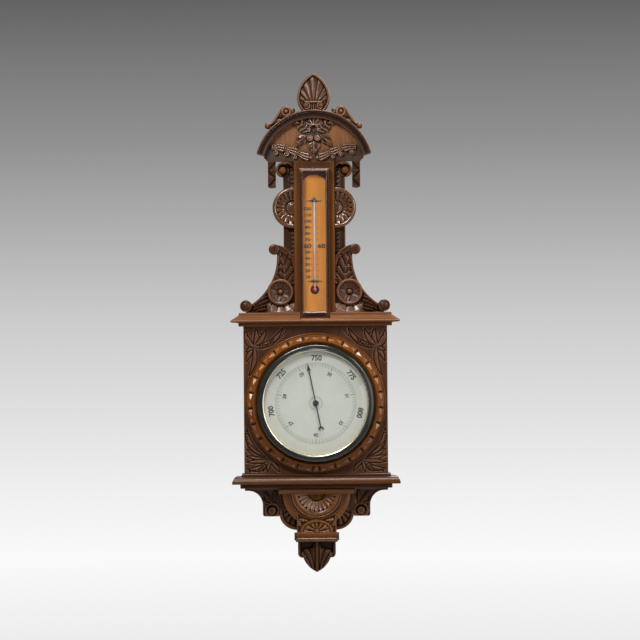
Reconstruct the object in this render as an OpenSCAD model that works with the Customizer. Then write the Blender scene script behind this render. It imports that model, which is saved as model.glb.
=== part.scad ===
// Carved wall barometer of the banjo kind: an aneroid movement behind a round dial,
// with a boxed thermometer on the trunk and an arched pediment above it.
// Millimetres, +Z up. The wall is the plane Y = 0 and the front faces -Y.
// Outlines are drawn as (x, height), with heights counted from the dial axis.
// Depths count forward from the wall. The hanging hole is moved to the origin at the end.

/* [Dial and bezel] */
// Diameter of the dial plate
dial_d = 203.2; // [190:0.2:215]
// Thickness of the dial plate
dial_t = 1.2; // [0.8:0.1:2]
// Diameter of the hole in the dial for the arbor
dial_hole_d = 8; // [6:0.5:10]
// How far the sight ring covers the edge of the dial
dial_cover = 3.1; // [2:0.1:6]
// Width of the sight ring
sight_w = 4.7; // [3.5:0.1:5.5]
// Thickness of the sight ring
sight_t = 2.6; // [1.5:0.1:4]
// How far the bezel reaches past the edge of the dial
bezel_band = 9.9; // [8.5:0.1:13]
// Height of the bezel above its foot
bezel_h = 15.5; // [13.5:0.1:20]
// Thickness of the spun bezel wall
bezel_wall = 1.4; // [1:0.1:2]
// Thickness of the dial glass
glass_t = 4; // [2.5:0.1:5]
// Width of the ground bevel of the dial glass
glass_bevel = 17; // [8:0.5:20]
// Height of the spacer ring between dial and glass
spacer_h = 5.3; // [5:0.1:8]
// Wall of the spacer ring
spacer_w = 3; // [2:0.1:4]
// Width of the carved ring around the bezel
ring_w = 20.6; // [14:0.1:26]
// Height of the carved ring above the panel
ring_h = 13.5; // [8:0.5:18]

/* [Hand] */
// Reach of the hand from its axis to the tip
hand_reach = 78; // [60:0.5:84]
// Reach of the tail to the middle of its crescent
tail_reach = 49.6; // [30:0.2:60]
// Width of the hand's blade
hand_w = 2; // [1.2:0.1:3]
// Thickness of the hand
hand_t = 0.6; // [0.4:0.1:1]
// Outer radius of the crescent on the tail
crescent_r = 5.3; // [3:0.1:7]
// Diameter of the hub
hub_d = 11.4; // [8:0.2:14]
// Height of the hub
hub_h = 2.6; // [1.6:0.1:3]
// Angle of the hand left of the top, in degrees
hand_rest = 11.4; // [0:0.1:30]

/* [Case] */
// Thickness of the backboard
board_t = 14; // [10:0.5:20]
// Thickness of the carved dial panel
panel_t = 12; // [9:0.5:16]
// Bare margin of the panel beside the carved ring
panel_side = 3.1; // [1:0.1:10]
// Bare margin of the panel above the carved ring
panel_above = 13.1; // [4:0.1:20]
// Bare margin of the panel below the carved ring
panel_below = 0.4; // [0.3:0.1:10]
// Thickness of the side boards of the dial case
side_t = 12; // [8:0.5:16]

/* [Cornices] */
// Height of the bed step under the top lip
bed_h = 6.4; // [4:0.1:10]
// Overhang of the bed step
bed_out = 9; // [4:0.1:12]
// Thickness of the top lip
lip_h = 8.6; // [6:0.1:12]
// Overhang of the top lip
lip_out = 23.8; // [16:0.1:30]
// Height of the step on the top lip
step_h = 10.7; // [6:0.1:16]
// Overhang of the step on the top lip
step_out = 8.3; // [4:0.1:11]
// Height of the fillet at the top of the lower cornice
fillet_h = 5.4; // [3:0.1:9]
// Overhang of that fillet
fillet_out = 5; // [3:0.1:9]
// Height of the quarter-round of the lower cornice
ovolo_h = 13.3; // [8:0.1:18]
// Overhang of the lower cornice
ovolo_out = 22.9; // [16:0.1:30]
// Height of the step under the lower cornice
base_h = 8.4; // [5:0.1:12]
// Overhang of that step
base_out = 7.6; // [3:0.1:11]

/* [Trunk] */
// Width of the trunk and of the whole backboard
trunk_w = 117.2; // [104:0.2:128]
// Height of the trunk between the cornice and the tympanum
trunk_h = 286.6; // [272:0.2:310]
// Width of the pilaster that carries the thermometer
pilaster_w = 77; // [68:0.2:84]
// Thickness of the pilaster
pilaster_t = 20; // [14:0.5:24]
// Half-distance of the two volute balls at the pilaster's top
volute_x = 59.5; // [57:0.1:60]
// Radius of a volute
volute_r = 12.5; // [10:0.1:12.6]
// Height of the volutes below the tympanum
volute_drop = 17.6; // [14:0.2:24]
// Width of the ribbon that joins a volute to the pilaster
volute_band = 7; // [5:0.1:9]
// Height of the half roundels above the middle of the trunk
roundel_up = 55; // [41.6:0.2:66.8]
// Radius of the half roundels
roundel_r = 38.8; // [32:0.2:42]
// Thickness of the half roundels
roundel_t = 16; // [10:0.5:19]

/* [Thermometer] */
// Width of the thermometer frame
frame_w = 57; // [54:0.2:64]
// Depth of the thermometer frame
frame_t = 26; // [22:0.5:32]
// Width of the frame's side and top bars
frame_bar = 6.6; // [5:0.1:8]
// Height of the frame's bottom bar
frame_foot = 12; // [8:0.2:16]
// Distance of the frame's top below the tympanum
frame_drop = 14.6; // [10:0.2:24]
// Thickness of the glass pane
pane_t = 2; // [1.5:0.1:3]
// Depth of the groove that holds the pane
pane_groove = 2.6; // [1.5:0.1:3]
// Thickness of the wood between the pane and the front
pane_cover = 6; // [3:0.2:8]
// Thickness of the boxwood scale
scale_t = 3; // [2:0.1:4]
// Bare height above and below the scale
scale_gap = 5; // [1:0.2:8]
// Rise of the scale's arched top
scale_rise = 11; // [6:0.2:16]
// Height of the bulb above the scale's foot
bulb_up = 41; // [30:0.2:50]
// Diameter of the bulb
bulb_d = 8.4; // [7:0.1:9]
// Diameter of the hole in the scale behind the bulb
bulb_hole_d = 17; // [12:0.5:20]
// Diameter of the glass tube
tube_d = 4.5; // [3.5:0.1:6]
// Diameter of the tube's bore
tube_bore = 1.8; // [1:0.1:2]
// Wall of the bulb
bulb_wall = 0.8; // [0.5:0.1:1.2]
// Length of the tube above the bulb
tube_len = 176; // [150:1:190]
// Height of the liquid column above the bulb
column_h = 77; // [30:1:140]
// Width of the wings of a tube clip
clip_w = 26; // [18:0.5:32]
// Height of a tube clip
clip_h = 4; // [3:0.2:6]

/* [Brackets] */
// From the pilaster to the middle of the bracket's foot scroll
bracket_w = 92.3; // [84:0.1:96]
// From the cornice to the middle of the bracket's top scroll
bracket_h = 119.8; // [112:0.1:130]
// From the pilaster to the waist of the bracket
bracket_waist = 32.8; // [28:0.1:38]
// Thickness of the bracket's ground
bracket_t = 14; // [8:0.5:20]
// Height of the ribbon and scrolls above the ground
bracket_relief = 6; // [3:0.5:9]
// Width of the bracket's ribbon
ribbon_w = 7; // [4:0.2:10]
// Radius of the foot scroll
foot_scroll_r = 11.3; // [9:0.1:13]
// Radius of the top scroll
top_scroll_r = 10; // [8:0.1:12]
// Radius of the round patera on the bracket
patera_r = 25.1; // [20:0.1:26]
// Thickness of that patera
patera_t = 9; // [6:0.5:12]
// From the pilaster to the middle of the patera
patera_out = 27; // [26.5:0.1:30]
// From the cornice to the middle of the patera
patera_up = 38.8; // [34:0.1:46]

/* [Pediment] */
// Outer radius of the arched hood
hood_r = 112.5; // [106:0.1:118]
// Width of the hood's moulding
hood_band = 15; // [11:0.1:17]
// Depth of the hood
hood_t = 62; // [48:0.5:70]
// Angle of the hood's arch in degrees
hood_angle = 147.5; // [140:0.5:160]
// How far the arch centre lies below the foot of the tympanum
arch_drop = 16.9; // [8:0.1:22]
// Thickness of the tympanum
tympanum_t = 14; // [10:0.5:18]
// From the middle of the flower up to the hood's inner edge
flower_up = 25.5; // [23.5:0.1:33.5]
// Length of a leaf of the flower
leaf_len = 37; // [30:0.2:38]
// Width of a leaf of the flower
leaf_w = 22; // [16:0.2:26]
// Thickness of the leaves
leaf_t = 12; // [6:0.5:18]
// Thickness of the garland
garland_t = 12; // [6:0.5:18]
// Width of the garland's swag
garland_w = 9.5; // [6:0.1:12]
// Height of the garland's middle line above the foot of the tympanum
garland_lift = 3; // [2:0.1:5]
// Rise of the garland from its middle to its shoulders
garland_swing = 22; // [16:0.2:24]
// Fall of the garland from its shoulders to its ends
garland_fall = 14; // [8:0.2:18]
// Width of a drapery end
drapery_w = 15; // [10:0.1:18]
// Length of a drapery end
drapery_h = 51; // [40:0.2:60]
// Thickness of a drapery end
drapery_t = 18; // [10:0.5:24]

/* [Crest] */
// Width of the shell finial
finial_w = 61.5; // [50:0.1:70]
// Height of the shell finial above the hood
finial_h = 70.4; // [60:0.1:80]
// Height of the finial's widest place above the hood
finial_belly = 22.4; // [16:0.1:26]
// Thickness of the finial
finial_t = 26; // [16:0.5:34]
// Distance of the crest carvings from the wall
crest_back = 10; // [0:0.5:16]
// Radius of the upper crest volute
crest_volute_r = 10.6; // [6:0.1:12]
// Radius of the lower crest ball
crest_ball_r = 5.7; // [4:0.1:8]
// Thickness of the crest scrolls
crest_t = 22; // [14:0.5:30]
// Height of the leaf between the crest's scrolls
crest_leaf_h = 9; // [6:0.2:14]

/* [Console] */
// Half-width of the console's back plate
plate_half = 70.9; // [66:0.1:74]
// Thickness of the console's back plate
plate_back_t = 14; // [10:0.5:18]
// Height of the straight part of the back plate
plate_back_h = 46.9; // [40:0.1:50]
// Height of the console's cap
cap_h = 10.9; // [7:0.1:14]
// Overhang of the cap in front of the console
cap_out = 5; // [2:0.2:8]
// Radius of the half-round sunburst
sunburst_r = 64; // [56:0.2:66]
// Thickness of the sunburst and its block
console_t = 24; // [16:0.5:30]
// Half-width of the console's block
block_half = 37.5; // [32:0.1:40]
// Height of the console under its cap
console_h = 74.8; // [70:0.1:80]
// Width of an ear at the top
ear_w = 64.6; // [56:0.1:70]
// Width of an ear at its foot
ear_foot = 30.8; // [24:0.1:36]
// Radius of the ear's hollow
ear_cove = 27.4; // [20:0.1:28]
// Height of the fillet at the ear's top
ear_fillet = 5.6; // [3:0.1:8]
// Height of an ear
ear_h = 54.3; // [48:0.1:60]
// Thickness of an ear
ear_t = 26; // [16:0.5:32]
// Height of the neck moulding
neck_h = 16.3; // [10:0.1:20]
// Overhang of the neck moulding
neck_out = 4.7; // [2:0.1:7]
// Half-width of the pendant's block
pendant_half = 35.7; // [30:0.1:40]
// Height of the pendant's block
pendant_h = 30; // [24:0.2:36]
// Half-width of the pendant's leaf
acanthus_half = 29; // [22:0.1:30]
// Height of the leaf's tip below the block
acanthus_h = 27; // [20:0.2:34]
// Height of the leaf's widest place above the foot of the block
acanthus_rise = 17; // [10:0.2:20]
// Thickness of the pendant's block
pendant_t = 26; // [16:0.5:32]
// Height of the leaf above the block
acanthus_t = 7; // [4:0.5:12]

/* [Movement] */
// Gap between the backboard and the movement case
case_gap = 2; // [1:0.1:4]
// Wall of the movement case
case_wall = 1.2; // [0.8:0.1:2]
// Thickness of the movement case's flange
flange_t = 1.5; // [1:0.1:2.5]
// Diameter of the movement plate
plate_d = 150; // [148:0.5:164]
// Thickness of the movement plate
plate_t = 2.5; // [2:0.1:4]
// Diameter of the vacuum capsule
capsule_d = 60; // [52:0.5:61]
// Height of the vacuum capsule
capsule_h = 8; // [6:0.1:12]
// Height of the capsule's foot stud
stud_h = 2.3; // [1.5:0.1:4]
// Diameter of the capsule's post
post_d = 5; // [4:0.1:5.4]
// Sideways place of the capsule
capsule_x = 26; // [24:0.1:28]
// From the capsule to the spring
spring_rise = 2; // [1.5:0.1:4]
// Thickness of the mainspring
spring_t = 1.4; // [1:0.1:2]
// Half-width of the mainspring's root
spring_half = 10; // [8:0.1:10.5]
// Diameter of the pin through the capsule's post
pin_d = 1.4; // [1:0.1:1.8]
// Thickness of the main lever
lever_t = 2.2; // [1.6:0.1:3]
// Half-width of the main lever
lever_half = 2.5; // [1.6:0.1:3]
// Diameter of the lever's pivot pin
pivot_d = 3; // [2.4:0.1:3.6]
// Diameter of the lever's hub
lever_hub_d = 6; // [5:0.1:6.4]
// Sideways place of the link
link_x = 38; // [36:0.1:39]
// Diameter of the link
link_d = 1.6; // [1:0.1:2]
// Length of the rocking shaft's crank
crank_len = 8; // [7.5:0.1:9]
// Diameter of the rocking shaft
rocker_d = 3; // [2.4:0.1:3.6]
// Length of the rocking shaft between its posts
rocker_len = 34; // [30:0.5:40]
// Diameter of the arbor
arbor_d = 1.8; // [1.4:0.1:2.2]
// Diameter of the arbor's chain drum
drum_d = 2.7; // [2.4:0.1:3.4]
// Height of the chain drum
drum_h = 2.6; // [2:0.1:3.4]
// Thickness of the arbor's two bearing plates
bearing_t = 1.2; // [0.8:0.1:2]
// Half-distance of the two pillars
pillar_z = 24; // [23:0.2:28]
// Diameter of a pillar
pillar_d = 4.8; // [4:0.1:5.4]
// Outer radius of the hairspring
hair_r = 9; // [7:0.1:11]
// Turns of the hairspring
hair_turns = 4; // [3:1:6]
// Gap between the movement and the dial
dial_gap = 3.5; // [2:0.1:6]
// Diameter of the adjusting screw
adjuster_d = 5; // [4:0.1:5.4]
// Diameter of the hole in the backboard for the adjusting screw
access_d = 16; // [14:0.5:20]

/* [Hanging] */
// Height of the hanging hole above the arch centre
hang_up = 58.9; // [50:0.1:62]
// Diameter of the hanging hole
hang_d = 9; // [6:0.1:12]
// Width of the hanging plate
hang_w = 44; // [38:0.5:50]
// Height of the hanging plate
hang_h = 56; // [44:0.5:60]
// Thickness of the hanging plate
hang_t = 2.5; // [2:0.1:4]
// Depth of the pocket behind the hanging hole
hang_pocket = 10; // [7:0.5:10]
// Diameter of the wood screws
screw_d = 4; // [3:0.1:5]
// Diameter of the small metal screws
machine_d = 3; // [2.4:0.1:3]

/* [Clearances] */
// Radial clearance of a pin or shaft in its hole
run_fit = 0.05; // [0.02:0.01:0.08]
// Clearance between pieces that lie loosely in each other
loose_fit = 0.5; // [0.3:0.05:0.8]
// Air between pieces that must not touch as the hand moves
move_gap = 0.4; // [0.3:0.05:0.6]

/* [Hidden] */
$fn = 96;
eps = 0.01;
far = 1000;
pin_cover = 0.7;
lever_gap = 0.9;
bearing_gap = 1.8;
glass_edge = 1.8;
lip_fit = 0.2;
case_inset = 2.2;
WALNUT = [0.30, 0.16, 0.08];
RUSSET = [0.45, 0.23, 0.10];
HONEY = [0.47, 0.28, 0.12];
BOXWOOD = [0.80, 0.60, 0.28];
BRASS = [0.78, 0.62, 0.30];
JAPAN = [0.07, 0.08, 0.07];
STEEL = [0.62, 0.63, 0.65];
BLUED = [0.06, 0.07, 0.11];
DIALWHITE = [0.88, 0.89, 0.85];
CLEAR = [0.80, 0.88, 0.88, 0.30];
SPIRIT = [0.70, 0.08, 0.06];

// Depths through the movement, from the wall to the dial
movement_back = board_t + case_gap;
plate_back = movement_back + case_wall;
plate_front = plate_back + plate_t;
capsule_back = plate_front + stud_h;
capsule_front = capsule_back + capsule_h;
spring_back = capsule_front + spring_rise;
spring_front = spring_back + spring_t;
post_front = spring_front + pin_d + pin_cover;
lever_back = post_front + lever_gap;
lever_front = lever_back + lever_t;
lever_mid = (lever_back + lever_front) / 2;
bearing_low = lever_front + bearing_gap;
drum_back = bearing_low + bearing_t + move_gap;
drum_front = drum_back + drum_h;
drum_mid = (drum_back + drum_front) / 2;
hair_back = drum_front + move_gap;
hair_front = hair_back + 1;
bearing_high = hair_front + move_gap;
movement_front = bearing_high + bearing_t;
dial_back = movement_front + dial_gap;
dial_front = dial_back + dial_t;
case_front = dial_back - flange_t;
panel_back = case_front - panel_t;
glass_back = dial_front + spacer_h;
glass_front = glass_back + glass_t;
hub_back = glass_back - move_gap - hub_h;
hand_back = hub_back + (hub_h - hand_t) / 2;

// Radii around the dial axis
dial_r = dial_d / 2;
sight_r = dial_r - dial_cover;
bezel_r = dial_r + bezel_band;
glass_r = sight_r + sight_w + glass_edge;
bezel_lip_r = sight_r + sight_w + lip_fit;
case_r = dial_r - case_inset;
panel_hole_r = case_r + loose_fit;
flange_r = bezel_r - bezel_wall - loose_fit;
ring_bore_r = bezel_r + loose_fit;
ring_r = ring_bore_r + ring_w;

// Heights, counted from the dial axis
panel_half = ring_r + panel_side;
panel_top = ring_r + panel_above;
panel_bottom = -ring_r - panel_below;
lip_top = panel_top + bed_h + lip_h;
cornice_top = lip_top + step_h;
cornice_bottom = panel_bottom - fillet_h - ovolo_h - base_h;
trunk_top = cornice_top + trunk_h;
arch_z = trunk_top - arch_drop;
hood_top = arch_z + hood_r;
tympanum_r = hood_r - hood_band;
hang_z = arch_z + hang_up;
cap_bottom = cornice_bottom - cap_h;
console_bottom = cap_bottom - console_h;
neck_bottom = console_bottom - neck_h;
pendant_bottom = neck_bottom - pendant_h;

// Places on the trunk
pilaster_half = pilaster_w / 2;
pilaster_front = board_t + pilaster_t;
frame_front = pilaster_front + frame_t;
frame_top = trunk_top - frame_drop;
open_half = frame_w / 2 - frame_bar;
open_low = lip_top + frame_foot;
open_high = frame_top - frame_bar;
pane_front = frame_front - pane_cover;
scale_half = open_half - loose_fit;
scale_low = open_low + loose_fit;
scale_high = open_high - scale_gap;
scale_front = pilaster_front + scale_t;
tube_depth = scale_front + tube_d / 2 + 0.3;
bulb_z = scale_low + bulb_up;
clip_spots = [bulb_z + 16, bulb_z + tube_len - 8];

// Places on a bracket: its waist, the round crown above it and the two scrolls
waist_drop = 14.2;
crown_out = 6;
crown_drop = 18;
crown_cover = 2.5;
foot_scroll_lift = 1.4;
top_scroll_out = 5.6;
waist_x = pilaster_half + bracket_waist;
waist_z = cornice_top + bracket_h - waist_drop;
crown_x = waist_x + crown_out;
crown_z = waist_z - crown_drop;
crown_r = crown_x - pilaster_half + crown_cover;
foot_scroll = [pilaster_half + bracket_w, cornice_top + foot_scroll_r + foot_scroll_lift];
top_scroll = [waist_x + top_scroll_out, cornice_top + bracket_h];

// Places inside the movement
bridge_right = -capsule_x - capsule_d / 2 - 6;
bridge_left = bridge_right - 8;
bridge_half = 18;
pivot_x = bridge_right + 3.5;
ear_in = spring_half + 2;
lever_end = link_x + 2.5;
rocker_x = link_x + crank_len;
rocker_depth = plate_front + 8.3;
chain_z = -(drum_d / 2 + run_fit + 0.4);
screw_head_d = 2 * screw_d;
machine_head_d = 1.9 * machine_d;
machine_head_h = 1.5;
adjuster_x = (bridge_left + bridge_right) / 2;
adjuster_head = 3.6;
plate_screw_angles = [90, 210, 330];
flange_screw_angles = [45, 135, 225, 315];
plate_screw_r = plate_d / 2 - 6;
flange_screw_r = (dial_r + flange_r) / 2 + 0.4;

// Wood screws through the backboard into the pilaster
board_screw_spots = [
    for (up = [0.12, 0.5, 0.88], side = [-1, 1]) [side * (frame_w / 2 - 3), cornice_top + up * trunk_h]
];

// An outline (x, height) made solid between two depths
module forward(from, to) {
    translate([0, -from, 0])
        rotate([90, 0, 0])
            linear_extrude(to - from)
                children();
}

// A profile (radius, depth) turned round the forward axis
module turned() {
    rotate([90, 0, 0])
        rotate_extrude()
            children();
}

// A round bar along the forward axis
module bar(x, z, d, from, to) {
    translate([x, -from, z])
        rotate([90, 0, 0])
            cylinder(d = d, h = to - from);
}

// A round bar along the height
module upright(x, depth, d, low, high) {
    translate([x, -depth, low])
        cylinder(d = d, h = high - low);
}

// The same piece on the left and on the right
module both_sides() {
    children();
    mirror([1, 0, 0])
        children();
}

// An outline kept on the right of a line
module right_of(x) {
    intersection() {
        children();
        translate([x, -far])
            square([far, 2 * far]);
    }
}

// An outline kept between two heights
module between(low, high) {
    intersection() {
        children();
        translate([-far, low])
            square([2 * far, high - low]);
    }
}

// Points along an arc, for a profile
function arc(x, z, r, from, to, steps = 12) = [
    for (i = [0 : steps])
        let (a = from + (to - from) * i / steps)
            [x + r * cos(a), z + r * sin(a)]
];

// A pointed oval whose tip lies at height len and whose widest half is half_w at height 0
module leaf_tip(half_w, len) {
    r = (half_w * half_w + len * len) / (2 * half_w);
    intersection() {
        translate([half_w - r, 0])
            circle(r);
        translate([r - half_w, 0])
            circle(r);
        translate([-half_w, 0])
            square([2 * half_w, len + 1]);
    }
}

// A board with the same moulding on its front and two ends: profile points are (overhang, height)
module moulded_board(profile) {
    last = len(profile) - 1;
    right = [for (p = profile) [panel_half + p[0], p[1]]];
    left = [for (i = [last : -1 : 0]) [-panel_half - profile[i][0], profile[i][1]]];
    front = [for (p = profile) [case_front + p[0], p[1]]];
    low = profile[0][1];
    high = profile[last][1];
    intersection() {
        forward(0, case_front + lip_out + ovolo_out)
            polygon(concat(right, left));
        rotate([90, 0, -90])
            translate([0, 0, -panel_half - lip_out - ovolo_out])
                linear_extrude(2 * (panel_half + lip_out + ovolo_out))
                    polygon(concat([[0, low]], front, [[0, high]]));
    }
}

// The slot for the backboard behind a cornice
module board_slot(low, high) {
    forward(-1, board_t)
        translate([-trunk_w / 2, low])
            square([trunk_w, high - low]);
}

module backboard() {
    color(WALNUT)
        difference() {
            forward(0, board_t) {
                translate([-trunk_w / 2, cornice_bottom])
                    square([trunk_w, trunk_top - cornice_bottom]);
                translate([side_t - panel_half, panel_bottom])
                    square([2 * (panel_half - side_t), panel_top - panel_bottom]);
                translate([-pendant_half + 2, pendant_bottom])
                    square([2 * pendant_half - 4, cornice_bottom - pendant_bottom + 1]);
                tympanum_outline();
            }
            translate([0, 0, hang_z]) {
                forward(-1, hang_t)
                    square([hang_w, hang_h], center = true);
                bar(0, 0, 2 * hang_d, -1, hang_pocket);
            }
            for (spot = hang_screw_spots())
                bar(spot[0], spot[1], machine_d + 2 * run_fit, 0, hang_t + 8);
            for (spot = board_screw_spots) {
                bar(spot[0], spot[1], screw_head_d + 2 * run_fit, -1, 3);
                bar(spot[0], spot[1], screw_d + 2 * run_fit, -1, board_t + 1);
            }
            bar(adjuster_x, 0, access_d, -1, board_t + 1);
        }
}

module case_sides() {
    color(WALNUT)
        both_sides()
            forward(0, panel_back)
                translate([panel_half - side_t, panel_bottom])
                    square([side_t, panel_top - panel_bottom]);
}

module front_panel() {
    color(WALNUT)
        difference() {
            forward(panel_back, case_front)
                translate([-panel_half, panel_bottom])
                    square([2 * panel_half, panel_top - panel_bottom]);
            bar(0, 0, 2 * panel_hole_r, panel_back - 1, case_front + 1);
            for (a = flange_screw_angles)
                bar(flange_screw_r * cos(a), flange_screw_r * sin(a), machine_d + 2 * run_fit,
                    case_front - 8, case_front + 1);
        }
}

module dial_ring() {
    bead = 3;
    color(RUSSET)
        turned()
            polygon(concat(
                [[ring_bore_r, case_front], [ring_r, case_front], [ring_r, case_front + ring_h / 2]],
                arc(ring_r - bead, case_front + ring_h / 2, bead, 0, 90),
                [[ring_r - 2 * bead, case_front + ring_h / 2],
                 [ring_bore_r + ring_w * 0.3, case_front + ring_h],
                 [ring_bore_r, case_front + ring_h - 1.5]]
            ));
}

// A bed step, a lip with a thin rounded edge and a sloping top, and a step
module top_cornice() {
    under = bed_h + lip_h * 0.15;
    edge = lip_h * 0.25;
    slope_top = bed_h + lip_h + step_h * 0.55;
    color(WALNUT)
        difference() {
            translate([0, 0, panel_top])
                moulded_board(concat(
                    [[bed_out, 0], [bed_out, bed_h]],
                    arc(lip_out - edge, under + edge, edge, -90, 60),
                    [[step_out, slope_top], [step_out, bed_h + lip_h + step_h]]
                ));
            board_slot(panel_top - 1, cornice_top + 1);
            forward(pilaster_front, case_front + lip_out)
                translate([-frame_w / 2, lip_top])
                    square([frame_w, step_h + 1]);
        }
}

module lower_cornice() {
    round_r = ovolo_h - 2;
    color(WALNUT)
        difference() {
            translate([0, 0, cornice_bottom])
                moulded_board(concat(
                    [[base_out, 0], [base_out, base_h], [ovolo_out, base_h], [ovolo_out, base_h + 2]],
                    arc(ovolo_out - round_r, base_h + 2, round_r, 10, 90),
                    [[fillet_out, base_h + ovolo_h], [fillet_out, base_h + ovolo_h + fillet_h]]
                ));
            board_slot(cornice_bottom - 1, panel_bottom + 1);
        }
}

// The pilaster's head on one side: it sweeps out over a hollow and curls round a ball
module volute_outline() {
    arm_r = volute_drop - loose_fit;
    arm_x = volute_x + volute_r - arm_r;
    hollow_r = (volute_x - pilaster_half + volute_band * 0.45) / 2;
    translate([0, trunk_top - volute_drop]) {
        translate([volute_x, 0])
            circle(volute_r);
        between(0, arm_r)
            difference() {
                union() {
                    translate([arm_x, 0])
                        circle(arm_r);
                    translate([pilaster_half - 1, 0])
                        square([arm_x - pilaster_half + 1, arm_r]);
                }
                translate([pilaster_half + hollow_r, 0])
                    circle(hollow_r);
            }
    }
}

module pilaster() {
    color(WALNUT)
        difference() {
            union() {
                forward(board_t, pilaster_front)
                    translate([-pilaster_half, cornice_top])
                        square([pilaster_w, trunk_h]);
                both_sides()
                    forward(board_t, pilaster_front)
                        volute_outline();
            }
            for (spot = board_screw_spots)
                bar(spot[0], spot[1], screw_d + 2 * run_fit, board_t - 1, pilaster_front - 6);
        }
}

module upper_roundels() {
    rim = 5;
    dish = 6;
    boss_r = roundel_r / 3;
    color(WALNUT)
        both_sides()
            intersection() {
                translate([pilaster_half + 1.8, 0, cornice_top + trunk_h / 2 + roundel_up])
                    turned()
                        polygon(concat(
                            [[0, board_t], [roundel_r, board_t], [roundel_r, board_t + roundel_t - 2],
                             [roundel_r - 2, board_t + roundel_t], [roundel_r - rim, board_t + roundel_t],
                             [boss_r, board_t + roundel_t - dish]],
                            arc(0, board_t + roundel_t - dish, boss_r * 0.9, 20, 90)
                        ));
                forward(0, board_t + 2 * roundel_t)
                    translate([pilaster_half, 0])
                        square([roundel_r * 2, trunk_top]);
            }
}

module bracket_outline() {
    run = foot_scroll[0] - foot_scroll_r - waist_x;
    drop = waist_z - foot_scroll[1] - 4;
    hollow_r = (run * run + drop * drop) / (2 * run);
    difference() {
        union() {
            translate([pilaster_half, cornice_top])
                square([bracket_w, crown_z - cornice_top]);
            right_of(pilaster_half)
                between(crown_z - eps, waist_z + crown_r)
                    translate([crown_x, crown_z])
                        circle(crown_r);
        }
        translate([waist_x + hollow_r, waist_z])
            circle(hollow_r);
    }
    translate(foot_scroll)
        circle(foot_scroll_r);
    translate(top_scroll)
        circle(top_scroll_r);
}

// The raised ribbon of a bracket: the border of its crown, with both scrolls
module bracket_ribbon() {
    right_of(pilaster_half)
        between(crown_z, waist_z + crown_r)
            intersection() {
                bracket_outline();
                translate([crown_x, crown_z])
                    difference() {
                        circle(crown_r + 1);
                        circle(crown_r - ribbon_w);
                    }
            }
    translate(foot_scroll)
        circle(foot_scroll_r);
    translate(top_scroll)
        circle(top_scroll_r);
}

module bracket() {
    color(WALNUT) {
        forward(board_t, board_t + bracket_t)
            bracket_outline();
        forward(board_t + bracket_t - eps, board_t + bracket_t + bracket_relief)
            bracket_ribbon();
    }
}

module bracket_right() {
    bracket();
}

module bracket_left() {
    mirror([1, 0, 0])
        bracket();
}

module bracket_paterae() {
    back = board_t + bracket_t;
    front = back + patera_t;
    dish_r = patera_r * 0.78;
    boss_r = patera_r * 0.2;
    color(WALNUT)
        both_sides()
            translate([pilaster_half + patera_out, 0, cornice_top + patera_up])
                turned()
                    polygon(concat(
                        [[0, back], [patera_r, back], [patera_r, front - 2], [patera_r - 2, front],
                         [dish_r, front], [dish_r - 2, front - 4], [boss_r, front - 4]],
                        arc(0, front - 4, boss_r, 0, 90)
                    ));
}

module thermometer_frame() {
    color(WALNUT)
        difference() {
            forward(pilaster_front, frame_front)
                translate([-frame_w / 2, lip_top])
                    square([frame_w, frame_top - lip_top]);
            forward(pilaster_front - 1, frame_front + 1)
                translate([-open_half, open_low])
                    square([2 * open_half, open_high - open_low]);
            forward(pane_front - pane_t - loose_fit, pane_front)
                translate([-open_half - pane_groove, open_low - pane_groove])
                    square([2 * (open_half + pane_groove), open_high - open_low + 2 * pane_groove]);
        }
}

module thermometer_pane() {
    reach = pane_groove - loose_fit;
    color(CLEAR)
        forward(pane_front - pane_t, pane_front)
            translate([-open_half - reach, open_low - reach])
                square([2 * (open_half + reach), open_high - open_low + 2 * reach]);
}

module scale_outline() {
    crown_r = (scale_half * scale_half + scale_rise * scale_rise) / (2 * scale_rise);
    intersection() {
        translate([-scale_half, scale_low])
            square([2 * scale_half, scale_high - scale_low]);
        union() {
            translate([0, scale_high - crown_r])
                circle(crown_r);
            translate([-scale_half, scale_low])
                square([2 * scale_half, scale_high - scale_rise - scale_low]);
        }
    }
}

module thermometer_scale() {
    color(BOXWOOD)
        difference() {
            forward(pilaster_front, scale_front)
                scale_outline();
            bar(0, bulb_z, bulb_hole_d, pilaster_front - 1, scale_front + 1);
        }
}

module thermometer_tube() {
    color(CLEAR)
        difference() {
            union() {
                upright(0, tube_depth, tube_d, bulb_z, bulb_z + tube_len);
                translate([0, -tube_depth, bulb_z])
                    sphere(d = bulb_d);
            }
            upright(0, tube_depth, tube_bore, bulb_z, bulb_z + tube_len - 3);
            translate([0, -tube_depth, bulb_z])
                sphere(d = bulb_d - 2 * bulb_wall);
        }
}

module thermometer_liquid() {
    color(SPIRIT) {
        upright(0, tube_depth, tube_bore - 2 * run_fit, bulb_z, bulb_z + column_h);
        translate([0, -tube_depth, bulb_z])
            sphere(d = bulb_d - 2 * bulb_wall - 2 * run_fit);
    }
}

module tube_clips() {
    saddle_d = tube_d + 2 * run_fit + 1.8;
    color(BRASS)
        for (z = clip_spots)
            difference() {
                union() {
                    forward(scale_front, scale_front + 0.8)
                        translate([-clip_w / 2, z - clip_h / 2])
                            square([clip_w, clip_h]);
                    intersection() {
                        upright(0, tube_depth, saddle_d, z - clip_h / 2, z + clip_h / 2);
                        forward(scale_front, tube_depth + saddle_d)
                            translate([-saddle_d, z - clip_h])
                                square([2 * saddle_d, 2 * clip_h]);
                    }
                }
                upright(0, tube_depth, tube_d + 2 * run_fit, z - clip_h, z + clip_h);
            }
}

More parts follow.
